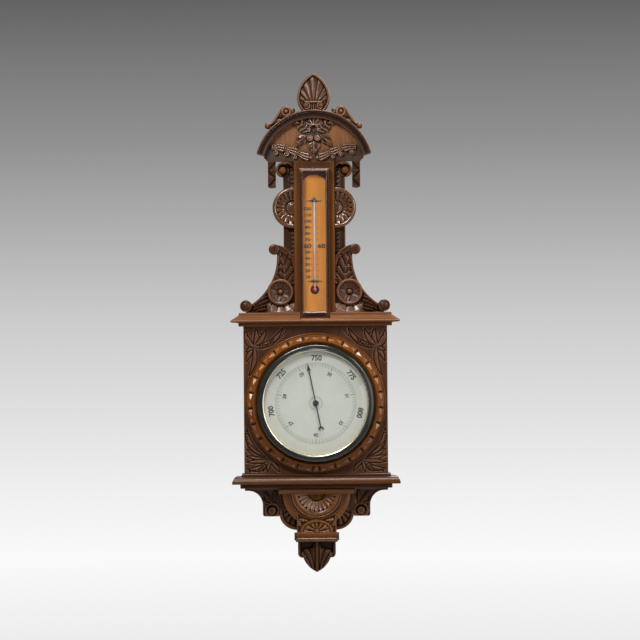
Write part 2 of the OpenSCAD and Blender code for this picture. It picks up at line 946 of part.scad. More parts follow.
// The arched hood: an outer lip, a hollow and an inner band
module pediment_hood() {
    lip_w = hood_band * 0.3;
    groove_w = hood_band * 0.2;
    color(WALNUT)
        translate([0, 0, arch_z])
            rotate([90, 0, 0])
                rotate([0, 0, 90 - hood_angle / 2])
                    rotate_extrude(angle = hood_angle)
                        polygon([
                            [tympanum_r, 0], [hood_r, 0], [hood_r, hood_t], [hood_r - lip_w, hood_t],
                            [hood_r - lip_w - groove_w / 2, hood_t - 6],
                            [hood_r - lip_w - groove_w, hood_t - 4], [tympanum_r + 2, hood_t - 5],
                            [tympanum_r, hood_t - 9]
                        ]);
}

// The round field under the hood, with its two lower corners cut off at a slant
module tympanum_outline() {
    foot_half = volute_x + volute_r + drapery_w + 0.4;
    cut = tympanum_r;
    intersection() {
        translate([0, arch_z])
            circle(tympanum_r);
        polygon([
            [-foot_half, trunk_top], [foot_half, trunk_top], [foot_half + cut, trunk_top + cut],
            [foot_half + cut, hood_top], [-foot_half - cut, hood_top], [-foot_half - cut, trunk_top + cut]
        ]);
    }
}

module tympanum() {
    color(HONEY)
        forward(board_t, board_t + tympanum_t)
            tympanum_outline();
}

// Two petals above the flower
module petal_outline() {
    for (side = [-1, 1])
        translate([side * leaf_w * 0.35, leaf_w * 0.8])
            circle(leaf_w * 0.25);
}

// Five leaves round the flower, with its petals
module flower_outline() {
    leaf_angles = [-64, 64, -129, 129, 180];
    for (a = leaf_angles)
        rotate(-a)
            translate([0, leaf_len * 0.38]) {
                leaf_tip(leaf_w / 2, leaf_len * 0.62);
                mirror([0, 1])
                    leaf_tip(leaf_w / 2, leaf_len * 0.38);
            }
    circle(leaf_w * 0.6);
    petal_outline();
}

// The leaves, with a hollow flower raised in the middle
module flower_carving() {
    back = board_t + tympanum_t;
    front = back + leaf_t;
    color(WALNUT)
        translate([0, 0, arch_z + tympanum_r - flower_up])
            difference() {
                union() {
                    forward(back, front)
                        flower_outline();
                    forward(front - leaf_t / 2, front + 2)
                        petal_outline();
                    bar(0, 0, leaf_w * 1.2, front - leaf_t / 2, front + 5);
                }
                bar(0, 0, leaf_w * 0.6, front - 1, front + 6);
            }
}

// Height of the garland's middle line above the foot of the tympanum, at a share of its reach
function garland_rise(u, shoulder = 0.74) =
    garland_lift + garland_swing * pow(sin(min(u / shoulder, 1) * 90), 2)
    - garland_fall * pow(max(u - shoulder, 0) / (1 - shoulder), 2);

module garland() {
    reach = volute_x + volute_r + drapery_w / 2;
    steps = 16;
    shares = [for (i = [-steps : steps]) i / steps];
    top = [for (u = shares) [u * reach, trunk_top + garland_rise(abs(u)) + garland_w / 2]];
    foot = [for (i = [steps : -1 : -steps])
        [i / steps * reach, max(trunk_top, trunk_top + garland_rise(abs(i / steps)) - garland_w / 2)]];
    color(WALNUT)
        forward(board_t + tympanum_t, board_t + tympanum_t + garland_t)
            polygon(concat(top, foot));
}

module drapery_ends() {
    inner = volute_x + volute_r + 0.3;
    color(WALNUT)
        both_sides()
            forward(board_t, board_t + drapery_t)
                polygon([
                    [inner, trunk_top], [inner + drapery_w, trunk_top],
                    [inner + drapery_w, trunk_top - drapery_h * 0.9],
                    [inner + drapery_w * 0.5, trunk_top - drapery_h],
                    [inner, trunk_top - drapery_h * 0.86]
                ]);
}

module crest_finial() {
    color(WALNUT)
        forward(crest_back, crest_back + finial_t)
            difference() {
                translate([0, hood_top + finial_belly]) {
                    leaf_tip(finial_w / 2, finial_h - finial_belly);
                    difference() {
                        circle(d = finial_w);
                        translate([-finial_w, 0])
                            square([2 * finial_w, finial_w]);
                    }
                }
                translate([0, arch_z])
                    circle(hood_r);
            }
}

module crest_scroll_outline() {
    volute_angle = 25;
    ball_angle = 45.9;
    seat_r = hood_r + crest_leaf_h;
    difference() {
        union() {
            intersection() {
                circle(seat_r);
                polygon([
                    [0, 0], seat_r * 2 * [sin(volute_angle - 8), cos(volute_angle - 8)],
                    seat_r * 2 * [sin(ball_angle), cos(ball_angle)]
                ]);
            }
            rotate(-volute_angle)
                translate([0, hood_r + crest_volute_r - 0.5])
                    circle(crest_volute_r);
            rotate(-ball_angle)
                translate([0, hood_r + crest_ball_r + 3])
                    circle(crest_ball_r);
        }
        circle(hood_r);
    }
}

module crest_scrolls() {
    color(WALNUT)
        translate([0, 0, arch_z])
            both_sides()
                forward(crest_back, crest_back + crest_t)
                    crest_scroll_outline();
}

// The flat plate behind the console, with a round lobe on each side of its foot
module console_plate() {
    lobe_r = plate_half - block_half;
    color(WALNUT)
        forward(board_t, board_t + plate_back_t) {
            translate([-plate_half, cornice_bottom - plate_back_h])
                square([2 * plate_half, plate_back_h]);
            translate([-block_half, console_bottom])
                square([2 * block_half, cornice_bottom - console_bottom]);
            both_sides()
                right_of(block_half - eps)
                    translate([block_half, cornice_bottom - plate_back_h])
                        circle(lobe_r);
        }
}

module console_cap() {
    back = board_t + plate_back_t;
    color(WALNUT)
        forward(back, back + console_t + cap_out)
            translate([-plate_half, cap_bottom])
                square([2 * plate_half, cap_h]);
}

module console() {
    back = board_t + plate_back_t;
    color(WALNUT)
        forward(back, back + console_t) {
            between(cap_bottom - sunburst_r, cap_bottom)
                translate([0, cap_bottom + 2])
                    circle(sunburst_r);
            translate([-block_half, console_bottom])
                square([2 * block_half, console_h]);
        }
}

module lower_ears() {
    outer = plate_half + ear_w;
    foot = plate_half + ear_foot;
    cove_top = cornice_bottom - ear_fillet;
    color(WALNUT)
        both_sides()
            forward(board_t - 8, board_t - 8 + ear_t)
                polygon(concat(
                    [[plate_half, cornice_bottom], [outer, cornice_bottom], [outer, cove_top]],
                    arc(foot + ear_cove, cove_top - ear_cove, ear_cove, 90, 180),
                    arc(foot - 4, cornice_bottom - ear_h + 4, 4, 0, -90, 4),
                    [[plate_half, cornice_bottom - ear_h]]
                ));
}

module neck_moulding() {
    front = board_t + plate_back_t + console_t;
    half = max(block_half, pendant_half) + neck_out;
    round_r = neck_h / 4;
    color(WALNUT)
        intersection() {
            forward(board_t, front + neck_out)
                translate([-half, neck_bottom])
                    square([2 * half, neck_h]);
            rotate([90, 0, -90])
                translate([0, 0, -half])
                    linear_extrude(2 * half)
                        polygon(concat(
                            [[board_t, neck_bottom], [front - 2, neck_bottom]],
                            arc(front + neck_out - round_r, neck_bottom + neck_h / 2, round_r, -90, 90),
                            [[front - 2, console_bottom], [board_t, console_bottom]]
                        ));
        }
}

module pendant() {
    back = board_t;
    corner = 8;
    color(WALNUT) {
        forward(back, back + pendant_t)
            polygon(concat(
                [[-pendant_half, neck_bottom], [pendant_half, neck_bottom]],
                arc(pendant_half - corner, pendant_bottom + corner, corner, 0, -90, 6),
                arc(corner - pendant_half, pendant_bottom + corner, corner, -90, -180, 6)
            ));
        forward(back, back + pendant_t + acanthus_t) {
            translate([0, pendant_bottom + acanthus_rise]) {
                mirror([0, 1])
                    leaf_tip(acanthus_half, acanthus_h + acanthus_rise);
                leaf_tip(acanthus_half, pendant_h - acanthus_rise);
            }
        }
    }
}

// Spun shell: a skirt, a rounded top and a lip over the edge of the glass
module bezel() {
    foot = dial_back;
    top = foot + bezel_h;
    seat_r = glass_r + loose_fit;
    color(JAPAN)
        turned()
            polygon(concat(
                [[bezel_r - bezel_wall, foot], [bezel_r, foot], [bezel_r, top - 8]],
                arc(bezel_r - 6, top - 6, 6, 0, 70),
                [[bezel_lip_r + 1, top], [bezel_lip_r, top - 0.6], [bezel_lip_r, glass_front],
                 [seat_r, glass_front], [seat_r, glass_back + 1], [bezel_r - bezel_wall, glass_back - 2]]
            ));
}

module sight_ring() {
    color(BRASS)
        turned()
            polygon([
                [sight_r, glass_front], [sight_r + sight_w, glass_front],
                [sight_r + sight_w, glass_front + sight_t], [sight_r + sight_w - 1.2, glass_front + sight_t],
                [sight_r, glass_front + 0.6]
            ]);
}

module dial_glass() {
    edge_t = glass_t * 0.55;
    color(CLEAR)
        turned()
            polygon([
                [0, glass_back], [glass_r, glass_back], [glass_r, glass_front], [sight_r, glass_front],
                [sight_r, glass_back + edge_t], [glass_r - glass_bevel, glass_front], [0, glass_front]
            ]);
}

module dial_spacer() {
    color(BRASS)
        turned()
            translate([dial_r - spacer_w, dial_front])
                square([spacer_w, spacer_h]);
}

module dial() {
    color(DIALWHITE)
        turned()
            translate([dial_hole_d / 2, dial_back])
                square([dial_r - dial_hole_d / 2, dial_t]);
}

// The hand's outline pointing straight up: a fine tip, barbs, a blade and a crescent on the tail
module hand_outline() {
    barb = hand_reach * 0.82;
    barb_w = hand_w * 1.9;
    polygon([
        [-hand_w / 2, -tail_reach + crescent_r * 0.8], [hand_w / 2, -tail_reach + crescent_r * 0.8],
        [hand_w / 2, barb], [barb_w, barb - 2], [hand_w / 3, barb + 8], [0, hand_reach],
        [-hand_w / 3, barb + 8], [-barb_w, barb - 2], [-hand_w / 2, barb]
    ]);
    translate([0, -tail_reach])
        difference() {
            circle(crescent_r);
            translate([0, -crescent_r * 0.55])
                circle(crescent_r * 0.78);
        }
}

module hand() {
    color(BLUED)
        rotate([0, -hand_rest, 0])
            difference() {
                forward(hand_back, hand_back + hand_t)
                    union() {
                        hand_outline();
                        circle(d = hub_d * 0.8);
                    }
                bar(0, 0, hub_d / 2 + 2 * run_fit, hand_back - 1, hand_back + hand_t + 1);
            }
}

// A domed cap in front of the hand, on a collar that goes through it to the arbor
module hand_hub() {
    top = hand_back + hand_t;
    dome = hub_back + hub_h - top;
    bore_r = arbor_d / 2 + run_fit;
    bore_top = top + dome * 0.5;
    color(BLUED)
        turned()
            polygon([
                [bore_r, hub_back], [hub_d / 4, hub_back], [hub_d / 4, top], [hub_d / 2, top],
                [hub_d / 2 - 0.4, bore_top], [hub_d / 4, top + dome * 0.9], [0, top + dome],
                [0, bore_top], [bore_r, bore_top]
            ]);
}

module arbor() {
    collet_d = arbor_d + 2.2;
    color(STEEL) {
        bar(0, 0, arbor_d, bearing_low - 0.4, hand_back + hand_t + 0.3);
        bar(0, 0, drum_d, drum_back, drum_front);
        bar(0, 0, collet_d, hair_back, hair_front);
    }
}

// One flat spiral from the collet out to the stud on the top plate
module hairspring() {
    wire = 0.3;
    inner = arbor_d / 2 + 1.1 + run_fit + wire / 2;
    steps = 24 * hair_turns;
    grow = (hair_r - wire - inner) / steps;
    turn = 360 * hair_turns / steps;
    function spiral(i, side) =
        (inner + grow * i + side * wire / 2) * [cos(90 + turn * i), sin(90 + turn * i)];
    color(STEEL)
        forward(hair_back, hair_front)
            polygon(concat(
                [for (i = [0 : steps]) spiral(i, 1)],
                [for (i = [steps : -1 : 0]) spiral(i, -1)]
            ));
}

// The arbor's lower and upper bearing plates; the upper one carries the hairspring's stud
module arbor_plates() {
    stud_d = 1.6;
    color(BRASS) {
        for (back = [bearing_low, bearing_high])
            difference() {
                forward(back, back + bearing_t)
                    translate([-pillar_d, -pillar_z - pillar_d])
                        square([2 * pillar_d, 2 * (pillar_z + pillar_d)]);
                bar(0, 0, arbor_d + 2 * run_fit, back - 1, back + bearing_t + 1);
                for (side = [-1, 1])
                    bar(0, side * pillar_z, pillar_d + 2 * run_fit, back - 1, back + bearing_t + 1);
            }
        bar(0, hair_r + stud_d / 2, stud_d, hair_back, bearing_high + eps);
    }
}

module arbor_pillars() {
    color(BRASS)
        for (side = [-1, 1])
            bar(0, side * pillar_z, pillar_d, plate_front, movement_front);
}

// Fine chain drawn straight from the drum to the arm of the rocking shaft
module chain() {
    link_pitch = 1.5;
    right = rocker_x - 1;
    count = floor(right / link_pitch);
    color(STEEL) {
        forward(drum_mid - 0.15, drum_mid + 0.15)
            translate([0, chain_z - 0.2])
                square([right, 0.4]);
        for (i = [0 : count - 1])
            forward(drum_mid - 0.3, drum_mid + 0.3)
                translate([i * link_pitch, chain_z - 0.35])
                    square([link_pitch * 0.6, 0.7]);
    }
}

// Shaft with a crank towards the link and an arm forward to the chain
module rocking_shaft() {
    journal_d = rocker_d * 0.6;
    half = rocker_len / 2;
    color(STEEL) {
        upright(rocker_x, rocker_depth, rocker_d, -half, half);
        upright(rocker_x, rocker_depth, journal_d, -half - 3, half + 3);
        forward(rocker_depth - 1, rocker_depth + 1)
            translate([link_x - 1.5, -1.5])
                square([crank_len + 1.5, 3]);
        forward(rocker_depth, drum_mid + 0.6)
            translate([rocker_x - 1, chain_z - 1.2])
                square([2, 2.4]);
    }
}

module rocker_posts() {
    journal_d = rocker_d * 0.6;
    inner = rocker_len / 2 + move_gap;
    color(BRASS)
        difference() {
            for (side = [-1, 1])
                translate([0, 0, side * (inner + 1.5)])
                    forward(plate_front, rocker_depth + rocker_d)
                        translate([rocker_x - rocker_d, -1.5])
                            square([2 * rocker_d, 3]);
            upright(rocker_x, rocker_depth, journal_d + 2 * run_fit, -inner - 5, inner + 5);
        }
}

module main_lever() {
    color(STEEL)
        difference() {
            union() {
                forward(lever_back, lever_front)
                    translate([pivot_x, -lever_half])
                        square([lever_end - pivot_x, 2 * lever_half]);
                upright(pivot_x, lever_mid, lever_hub_d, -ear_in + move_gap, ear_in - move_gap);
            }
            upright(pivot_x, lever_mid, pivot_d + 2 * run_fit, -ear_in, ear_in);
            bar(link_x, 0, link_d + 2 * run_fit, lever_back - 1, lever_front + 1);
        }
}

// Rod from the lever back to just above the crank, with a head in front of the lever
module link() {
    color(BRASS) {
        bar(link_x, 0, link_d, rocker_depth + 1 + move_gap, lever_front);
        bar(link_x, 0, link_d + 1.4, lever_front, lever_front + 0.6);
    }
}

module lever_pin() {
    color(STEEL)
        upright(pivot_x, lever_mid, pivot_d, -ear_in - 3.4, ear_in + 3.4);
}

module main_spring() {
    tip_half = spring_half * 0.6;
    color(STEEL)
        difference() {
            forward(spring_back, spring_front)
                polygon([
                    [bridge_left, -spring_half], [bridge_right + 6, -spring_half],
                    [post_d - capsule_x, -tip_half], [post_d - capsule_x, tip_half],
                    [bridge_right + 6, spring_half], [bridge_left, spring_half]
                ]);
            bar(-capsule_x, 0, post_d + 2 * run_fit, spring_back - 1, spring_front + 1);
            for (side = [-1, 1])
                bar(adjuster_x, side * spring_half / 2, machine_d + 2 * run_fit,
                    spring_back - 1, spring_front + 1);
        }
}

// Block under the spring's root, with two ears that hold the lever's pivot pin
module spring_bridge() {
    lug_t = 3;
    color(BRASS)
        difference() {
            union() {
                forward(plate_front, spring_back)
                    translate([bridge_left, -bridge_half])
                        square([bridge_right - bridge_left, 2 * bridge_half]);
                for (side = [-1, 1])
                    translate([0, 0, side * (ear_in + lug_t / 2)])
                        forward(spring_back - 5, lever_mid + lever_hub_d / 2 + 0.5)
                            translate([bridge_right - 1, -lug_t / 2])
                                square([8, lug_t]);
            }
            upright(pivot_x, lever_mid, pivot_d + 2 * run_fit, -bridge_half - 1, bridge_half + 1);
            for (side = [-1, 1])
                bar(adjuster_x, side * spring_half / 2, machine_d + 2 * run_fit,
                    spring_back - 6, spring_back + 1);
            bar(adjuster_x, 0, adjuster_d + 2 * run_fit, plate_front - 1, spring_back - 3.5);
        }
}

module spring_screws() {
    color(STEEL)
        for (side = [-1, 1]) {
            bar(adjuster_x, side * spring_half / 2, machine_d, spring_back - 5.5, spring_front);
            bar(adjuster_x, side * spring_half / 2, machine_head_d,
                spring_front, spring_front + machine_head_h);
        }
}

// Two corrugated discs soldered at the rim, with a stud behind and a post in front
module vacuum_capsule() {
    waves = 4;
    rim = 2;
    depth = 0.7;
    r = capsule_d / 2 - rim;
    steps = 8 * waves;
    function wave(i) = depth * (cos(360 * waves * i / steps) - 1) / 2;
    color(BRASS)
        translate([-capsule_x, 0, 0])
            difference() {
                union() {
                    turned()
                        polygon(concat(
                            [for (i = [0 : steps]) [r * i / steps, capsule_back - wave(i)]],
                            [[capsule_d / 2, (capsule_back + capsule_front) / 2 - 0.6],
                             [capsule_d / 2, (capsule_back + capsule_front) / 2 + 0.6]],
                            [for (i = [steps : -1 : 0]) [r * i / steps, capsule_front + wave(i)]]
                        ));
                    bar(0, 0, post_d + 4, plate_front, capsule_back + 1);
                    bar(0, 0, post_d, capsule_front - 1, post_front);
                }
                upright(0, spring_front + pin_d / 2, pin_d + 2 * run_fit, -post_d, post_d);
            }
}

module capsule_pin() {
    color(STEEL)
        upright(-capsule_x, spring_front + pin_d / 2, pin_d, -post_d, post_d);
}

module movement_plate() {
    color(BRASS)
        difference() {
            bar(0, 0, plate_d, plate_back, plate_front);
            for (a = plate_screw_angles)
                bar(plate_screw_r * cos(a), plate_screw_r * sin(a), machine_d + 2 * run_fit,
                    plate_back - 1, plate_front + 1);
            bar(adjuster_x, 0, adjuster_d + 2 * run_fit, plate_back - 1, plate_front + 1);
        }
}

// Round cup that carries the movement, with a flange on the front of the panel
module movement_case() {
    color(BRASS)
        difference() {
            turned()
                polygon([
                    [0, movement_back], [case_r, movement_back], [case_r, case_front], [flange_r, case_front],
                    [flange_r, dial_back], [case_r - case_wall, dial_back], [case_r - case_wall, plate_back],
                    [0, plate_back]
                ]);
            for (a = plate_screw_angles)
                bar(plate_screw_r * cos(a), plate_screw_r * sin(a), machine_d + 2 * run_fit,
                    movement_back - 1, plate_back + 1);
            for (a = flange_screw_angles)
                bar(flange_screw_r * cos(a), flange_screw_r * sin(a), machine_d + 2 * run_fit,
                    case_front - 1, dial_back + 1);
            bar(adjuster_x, 0, adjuster_d + 2 * run_fit, movement_back - 1, plate_back + 1);
        }
}

// Three screws in the movement plate and four in the flange
module movement_screws() {
    color(BRASS) {
        for (a = plate_screw_angles)
            translate([plate_screw_r * cos(a), 0, plate_screw_r * sin(a)]) {
                bar(0, 0, machine_d, movement_back, plate_front);
                bar(0, 0, machine_head_d, plate_front, plate_front + machine_head_h);
            }
        for (a = flange_screw_angles)
            translate([flange_screw_r * cos(a), 0, flange_screw_r * sin(a)]) {
                bar(0, 0, machine_d, case_front - 7, dial_back);
                bar(0, 0, machine_head_d, dial_back, dial_back + machine_head_h);
            }
    }
}

// Reached with a screwdriver through the hole in the backboard
module adjusting_screw() {
    head_front = movement_back - move_gap / 2;
    color(STEEL)
        difference() {
            union() {
                bar(adjuster_x, 0, adjuster_d, head_front, spring_back - 4);
                bar(adjuster_x, 0, adjuster_d * 1.8, head_front - adjuster_head, head_front);
            }
            forward(head_front - adjuster_head - 1, head_front - adjuster_head + 1.2)
                translate([adjuster_x - adjuster_d, -0.5])
                    square([2 * adjuster_d, 1]);
        }
}

function hang_screw_spots() = [
    for (x = [-1, 1], z = [-1, 1]) [x * (hang_w / 2 - 6), hang_z + z * (hang_h / 2 - 6)]
];

module hanging_plate() {
    color(BRASS)
        difference() {
            translate([0, 0, hang_z])
                forward(0, hang_t)
                    square([hang_w, hang_h], center = true);
            bar(0, hang_z, hang_d, -1, hang_t + 1);
            for (spot = hang_screw_spots())
                bar(spot[0], spot[1], machine_d + 2 * run_fit, -1, hang_t + 1);
            for (spot = hang_screw_spots())
                bar(spot[0], spot[1], machine_head_d + 2 * run_fit, -1, hang_t / 2);
        }
}

module hanging_screws() {
    color(BRASS)
        for (spot = hang_screw_spots()) {
            bar(spot[0], spot[1], machine_head_d, 0, hang_t / 2);
            bar(spot[0], spot[1], machine_d, hang_t / 2, hang_t + 7);
        }
}

module board_screws() {
    color(STEEL)
        for (spot = board_screw_spots) {
            bar(spot[0], spot[1], screw_head_d, 0.4, 3);
            bar(spot[0], spot[1], screw_d, 3, pilaster_front - 7);
        }
}

// Moves the hanging hole to the origin
module hung() {
    translate([0, 0, -hang_z])
        children();
}

hung() backboard();
hung() case_sides();
hung() front_panel();
hung() dial_ring();
hung() top_cornice();
hung() lower_cornice();
hung() pilaster();
hung() upper_roundels();
hung() bracket_left();
hung() bracket_right();
hung() bracket_paterae();
hung() thermometer_frame();
hung() thermometer_pane();
hung() thermometer_scale();
hung() thermometer_tube();
hung() thermometer_liquid();
hung() tube_clips();
hung() pediment_hood();
hung() tympanum();
hung() flower_carving();
hung() garland();
hung() drapery_ends();
hung() crest_finial();
hung() crest_scrolls();
hung() console_plate();
hung() console_cap();
hung() console();
hung() lower_ears();
hung() neck_moulding();
hung() pendant();
hung() bezel();
hung() sight_ring();
hung() dial_glass();
hung() dial_spacer();
hung() dial();
hung() hand();
hung() hand_hub();
hung() arbor();
hung() hairspring();
hung() arbor_plates();
hung() arbor_pillars();
hung() chain();
hung() rocking_shaft();
hung() rocker_posts();
hung() main_lever();
hung() link();
hung() lever_pin();
hung() main_spring();
hung() spring_bridge();
hung() spring_screws();
hung() vacuum_capsule();
hung() capsule_pin();
hung() movement_plate();
hung() movement_case();
hung() movement_screws();
hung() adjusting_screw();
hung() hanging_plate();
hung() hanging_screws();
hung() board_screws();
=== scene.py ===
"""Looks of the carved barometer: carved wood, dial print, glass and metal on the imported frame.

Ornament is drawn in millimetres as (x, z) seen from the front, with z counted from the dial axis.
Depth counts forward from the wall. place() turns both into metres of the shared frame.
Both sides of the case are alike, so outlines and depths are drawn for the right half.
"""
import math

import bmesh
import bpy
import numpy as np
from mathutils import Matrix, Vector


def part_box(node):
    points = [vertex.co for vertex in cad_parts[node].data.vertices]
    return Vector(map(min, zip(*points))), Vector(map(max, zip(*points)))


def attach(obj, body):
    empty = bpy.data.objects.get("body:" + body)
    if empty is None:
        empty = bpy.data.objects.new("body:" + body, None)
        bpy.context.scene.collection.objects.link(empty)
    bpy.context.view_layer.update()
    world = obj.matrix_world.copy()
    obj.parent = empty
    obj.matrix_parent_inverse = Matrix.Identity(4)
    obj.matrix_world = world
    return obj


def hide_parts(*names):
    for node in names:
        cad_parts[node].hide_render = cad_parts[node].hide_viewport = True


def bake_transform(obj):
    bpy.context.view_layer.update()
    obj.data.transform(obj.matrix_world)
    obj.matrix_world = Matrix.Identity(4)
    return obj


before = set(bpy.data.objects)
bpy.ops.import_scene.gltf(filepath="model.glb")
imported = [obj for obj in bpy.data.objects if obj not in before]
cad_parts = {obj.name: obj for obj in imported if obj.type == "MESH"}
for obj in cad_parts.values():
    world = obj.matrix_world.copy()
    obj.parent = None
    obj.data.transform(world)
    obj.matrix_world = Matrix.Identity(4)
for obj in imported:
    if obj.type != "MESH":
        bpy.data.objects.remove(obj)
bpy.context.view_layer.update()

MM = 0.001
CASE = "case_body"
axis_z = (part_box("dial")[0][2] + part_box("dial")[1][2]) / 2 / MM


class Extent:
    """The box of a CAD node in drawing millimetres."""

    def __init__(self, node):
        low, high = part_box(node)
        self.node = node
        self.left, self.right = low[0] / MM, high[0] / MM
        self.half = (self.right - self.left) / 2
        self.back, self.front = -high[1] / MM, -low[1] / MM
        self.foot, self.top = low[2] / MM - axis_z, high[2] / MM - axis_z
        self.middle_z = (self.foot + self.top) / 2
        self.span = (self.left, self.right, self.foot, self.top)


# Meshes


def add_object(name, data):
    thing = bpy.data.objects.new(name, data)
    bpy.context.scene.collection.objects.link(thing)
    return thing


def place(x, depth, z):
    """Drawing millimetres as points of the frame, in metres."""
    return np.stack(np.broadcast_arrays(x * MM, -depth * MM, (z + axis_z) * MM), axis=-1)


def mark_hollows(mesh, rounds=(4, 20), scales=(0.16, 0.7)):
    """Stores how deep each vertex lies under its surroundings: 1 in a deep hollow, -1 on a sharp edge."""
    count = len(mesh.vertices)
    spot = np.empty(count * 3)
    normal = np.empty(count * 3)
    ends = np.empty(len(mesh.edges) * 2, dtype=np.int64)
    mesh.vertices.foreach_get("co", spot)
    mesh.vertices.foreach_get("normal", normal)
    mesh.edges.foreach_get("vertices", ends)
    spot, normal = spot.reshape(-1, 3), normal.reshape(-1, 3)
    a, b = ends.reshape(-1, 2).T
    weight = 1 / np.maximum(np.linalg.norm(spot[a] - spot[b], axis=1), 1e-5)
    total = np.bincount(a, weight, count) + np.bincount(b, weight, count)
    calm = spot.copy()
    hollow = np.zeros(count)
    done = 0
    for stop, scale in zip(rounds, scales):
        for _ in range(done, stop):
            for axis in range(3):
                line = calm[:, axis]
                pull = np.bincount(a, weight * line[b], count) + np.bincount(b, weight * line[a], count)
                calm[:, axis] = 0.5 * line + 0.5 * pull / total
        done = stop
        hollow += np.einsum("ij,ij->i", calm - spot, normal) / (scale * MM)
    layer = mesh.attributes.new("hollow", "FLOAT", "POINT")
    layer.data.foreach_set("value", np.clip(hollow / len(rounds), -1, 1))


def make_piece(name, points, faces, material, nodes=(), body=CASE, crease=55, fill=False, weld=False):
    """A closed piece from points and faces, riding on a body and standing for CAD nodes."""
    mesh = bpy.data.meshes.new(name)
    mesh.from_pydata(points.tolist(), [], faces)
    work = bmesh.new()
    work.from_mesh(mesh)
    if fill:
        rim = [edge for edge in work.edges if edge.is_boundary]
        bmesh.ops.triangle_fill(work, use_beauty=False, use_dissolve=False, edges=rim, normal=(0, 1, 0))
    if weld:
        bmesh.ops.remove_doubles(work, verts=work.verts, dist=0.001 * MM)
    bmesh.ops.recalc_face_normals(work, faces=work.faces)
    if work.calc_volume(signed=True) < 0:
        bmesh.ops.reverse_faces(work, faces=work.faces)
    work.to_mesh(mesh)
    work.free()
    mesh.polygons.foreach_set("use_smooth", np.ones(len(mesh.polygons), dtype=bool))
    mesh.set_sharp_from_angle(angle=math.radians(crease))
    mesh.materials.append(material)
    mark_hollows(mesh)
    piece = add_object(name, mesh)
    if body:
        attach(piece, body)
    if nodes:
        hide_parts(*nodes)
    return piece


def slope(shape, x, z, probe=0.05):
    """Gradient of a drawn shape."""
    across = (shape(x + probe, z) - shape(x - probe, z)) / (2 * probe)
    up = (shape(x, z + probe) - shape(x, z - probe)) / (2 * probe)
    return across, up


def local_mean(values, keep, cells):
    """Mean of the kept values in a square of cells round each place."""
    def blur(grid):
        for axis in (0, 1):
            grid = np.apply_along_axis(np.convolve, axis, grid, np.ones(2 * cells + 1), "same")
        return grid
    return blur(np.where(keep, values, 0)) / np.maximum(blur(keep.astype(float)), 1e-9)


def kept_faces(keep):
    """Faces over the kept places of a grid: whole cells, and half cells where one corner is missing."""
    number = np.arange(keep.size).reshape(keep.shape)
    corners, kept = (
        [grid[:-1, :-1], grid[1:, :-1], grid[1:, 1:], grid[:-1, 1:]] for grid in (number, keep)
    )
    faces = [np.stack([corner[np.logical_and.reduce(kept)] for corner in corners], axis=-1)]
    for gone in range(4):
        three = [i for i in range(4) if i != gone]
        cells = np.logical_and.reduce([kept[i] for i in three]) & ~kept[gone]
        faces.append(np.stack([corners[i][cells] for i in three], axis=-1))
    return faces


CAVITY_REACH, CAVITY_MARK = 3.5, 0.5


def relief(name, extent, outline, front, step, material, span=None, back=None, nodes=None, rounding=0.8):
    """Carved wood: a grid inside an outline, raised to front(x, z), with side walls and a flat back.

    outline(x, z) is below zero inside. The span (left, right, foot, top), the back and the nodes are
    those of the extent where none are given.
    """
    left, right, foot, top = span or extent.span
    x, z = np.meshgrid(
        np.arange(left - step, right + 1.5 * step, step),
        np.arange(foot - step, top + 1.5 * step, step),
        indexing="ij",
    )

    def edge(x, z):
        return outline(np.abs(x), z)

    gap = edge(x, z)
    keep = gap < 0.5 * step
    rim = np.abs(gap) < 0.5 * step
    for _ in range(2):
        across, up = slope(edge, x, z)
        pull = np.where(rim, gap / np.maximum(across**2 + up**2, 0.2), 0)
        x = x - pull * across
        z = z - pull * up
        gap = edge(x, z)
    depth = front(np.abs(x), z) - rounding * (1 - hump(1 - unit(-gap / rounding)))
    faces = kept_faces(keep)
    edges = np.concatenate([np.stack([f, np.roll(f, -1, axis=1)], axis=-1).reshape(-1, 2) for f in faces])
    code = edges[:, 0] * x.size + edges[:, 1]
    open_edges = edges[~np.isin(code, edges[:, 1] * x.size + edges[:, 0])]
    used, border = np.unique(edges), np.unique(open_edges)
    front_id, back_id = np.zeros((2, x.size), dtype=np.int64)
    front_id[used] = np.arange(len(used))
    back_id[border] = len(used) + np.arange(len(border))
    a, b = open_edges.T
    sides = np.stack([front_id[b], front_id[a], back_id[a], back_id[b]], axis=-1)
    points = np.concatenate([
        place(x.flat[used], depth.flat[used], z.flat[used]),
        place(x.flat[border], extent.back if back is None else back, z.flat[border]),
    ])
    all_faces = [face for f in faces for face in front_id[f].tolist()] + sides.tolist()
    stands_for = [extent.node] if nodes is None else nodes
    piece = make_piece(name, points, all_faces, material, stands_for, fill=True)
    # Painted shade and highlights: places sunk below the mean depth round them join the hollows that the wood
    # darkens, and raised places join the edges that it lightens.
    sunk = CAVITY_MARK * (local_mean(depth, keep, max(2, round(CAVITY_REACH / step))) - depth)
    marks = piece.data.attributes["hollow"].data
    hollow = np.zeros(len(marks))
    marks.foreach_get("value", hollow)
    hollow[:len(used)] += np.clip(sunk.flat[used], -0.9, 1.0)
    marks.foreach_set("value", hollow)


def skin_faces(number, closed=True):
    """Faces over rings of point numbers; closed joins the last ring to the first."""
    before = number if closed else number[:-1]
    after = np.roll(number, -1, axis=0) if closed else number[1:]
    corners = [before, after, np.roll(after, -1, axis=1), np.roll(before, -1, axis=1)]
    return np.stack(corners, axis=-1).reshape(-1, 4)


def loft(name, rings, material, nodes=(), closed=False, crease=40):
    """A skin over rings of drawing points (x, depth, z), closed in itself or with flat ends."""
    rings = np.asarray(rings, dtype=float)
    number = np.arange(rings.size // 3).reshape(rings.shape[:2])
    faces = skin_faces(number, closed).tolist()
    if not closed:
        faces += [number[0].tolist(), number[-1].tolist()]
    return make_piece(name, place(*rings.reshape(-1, 3).T), faces, material, nodes, crease=crease)


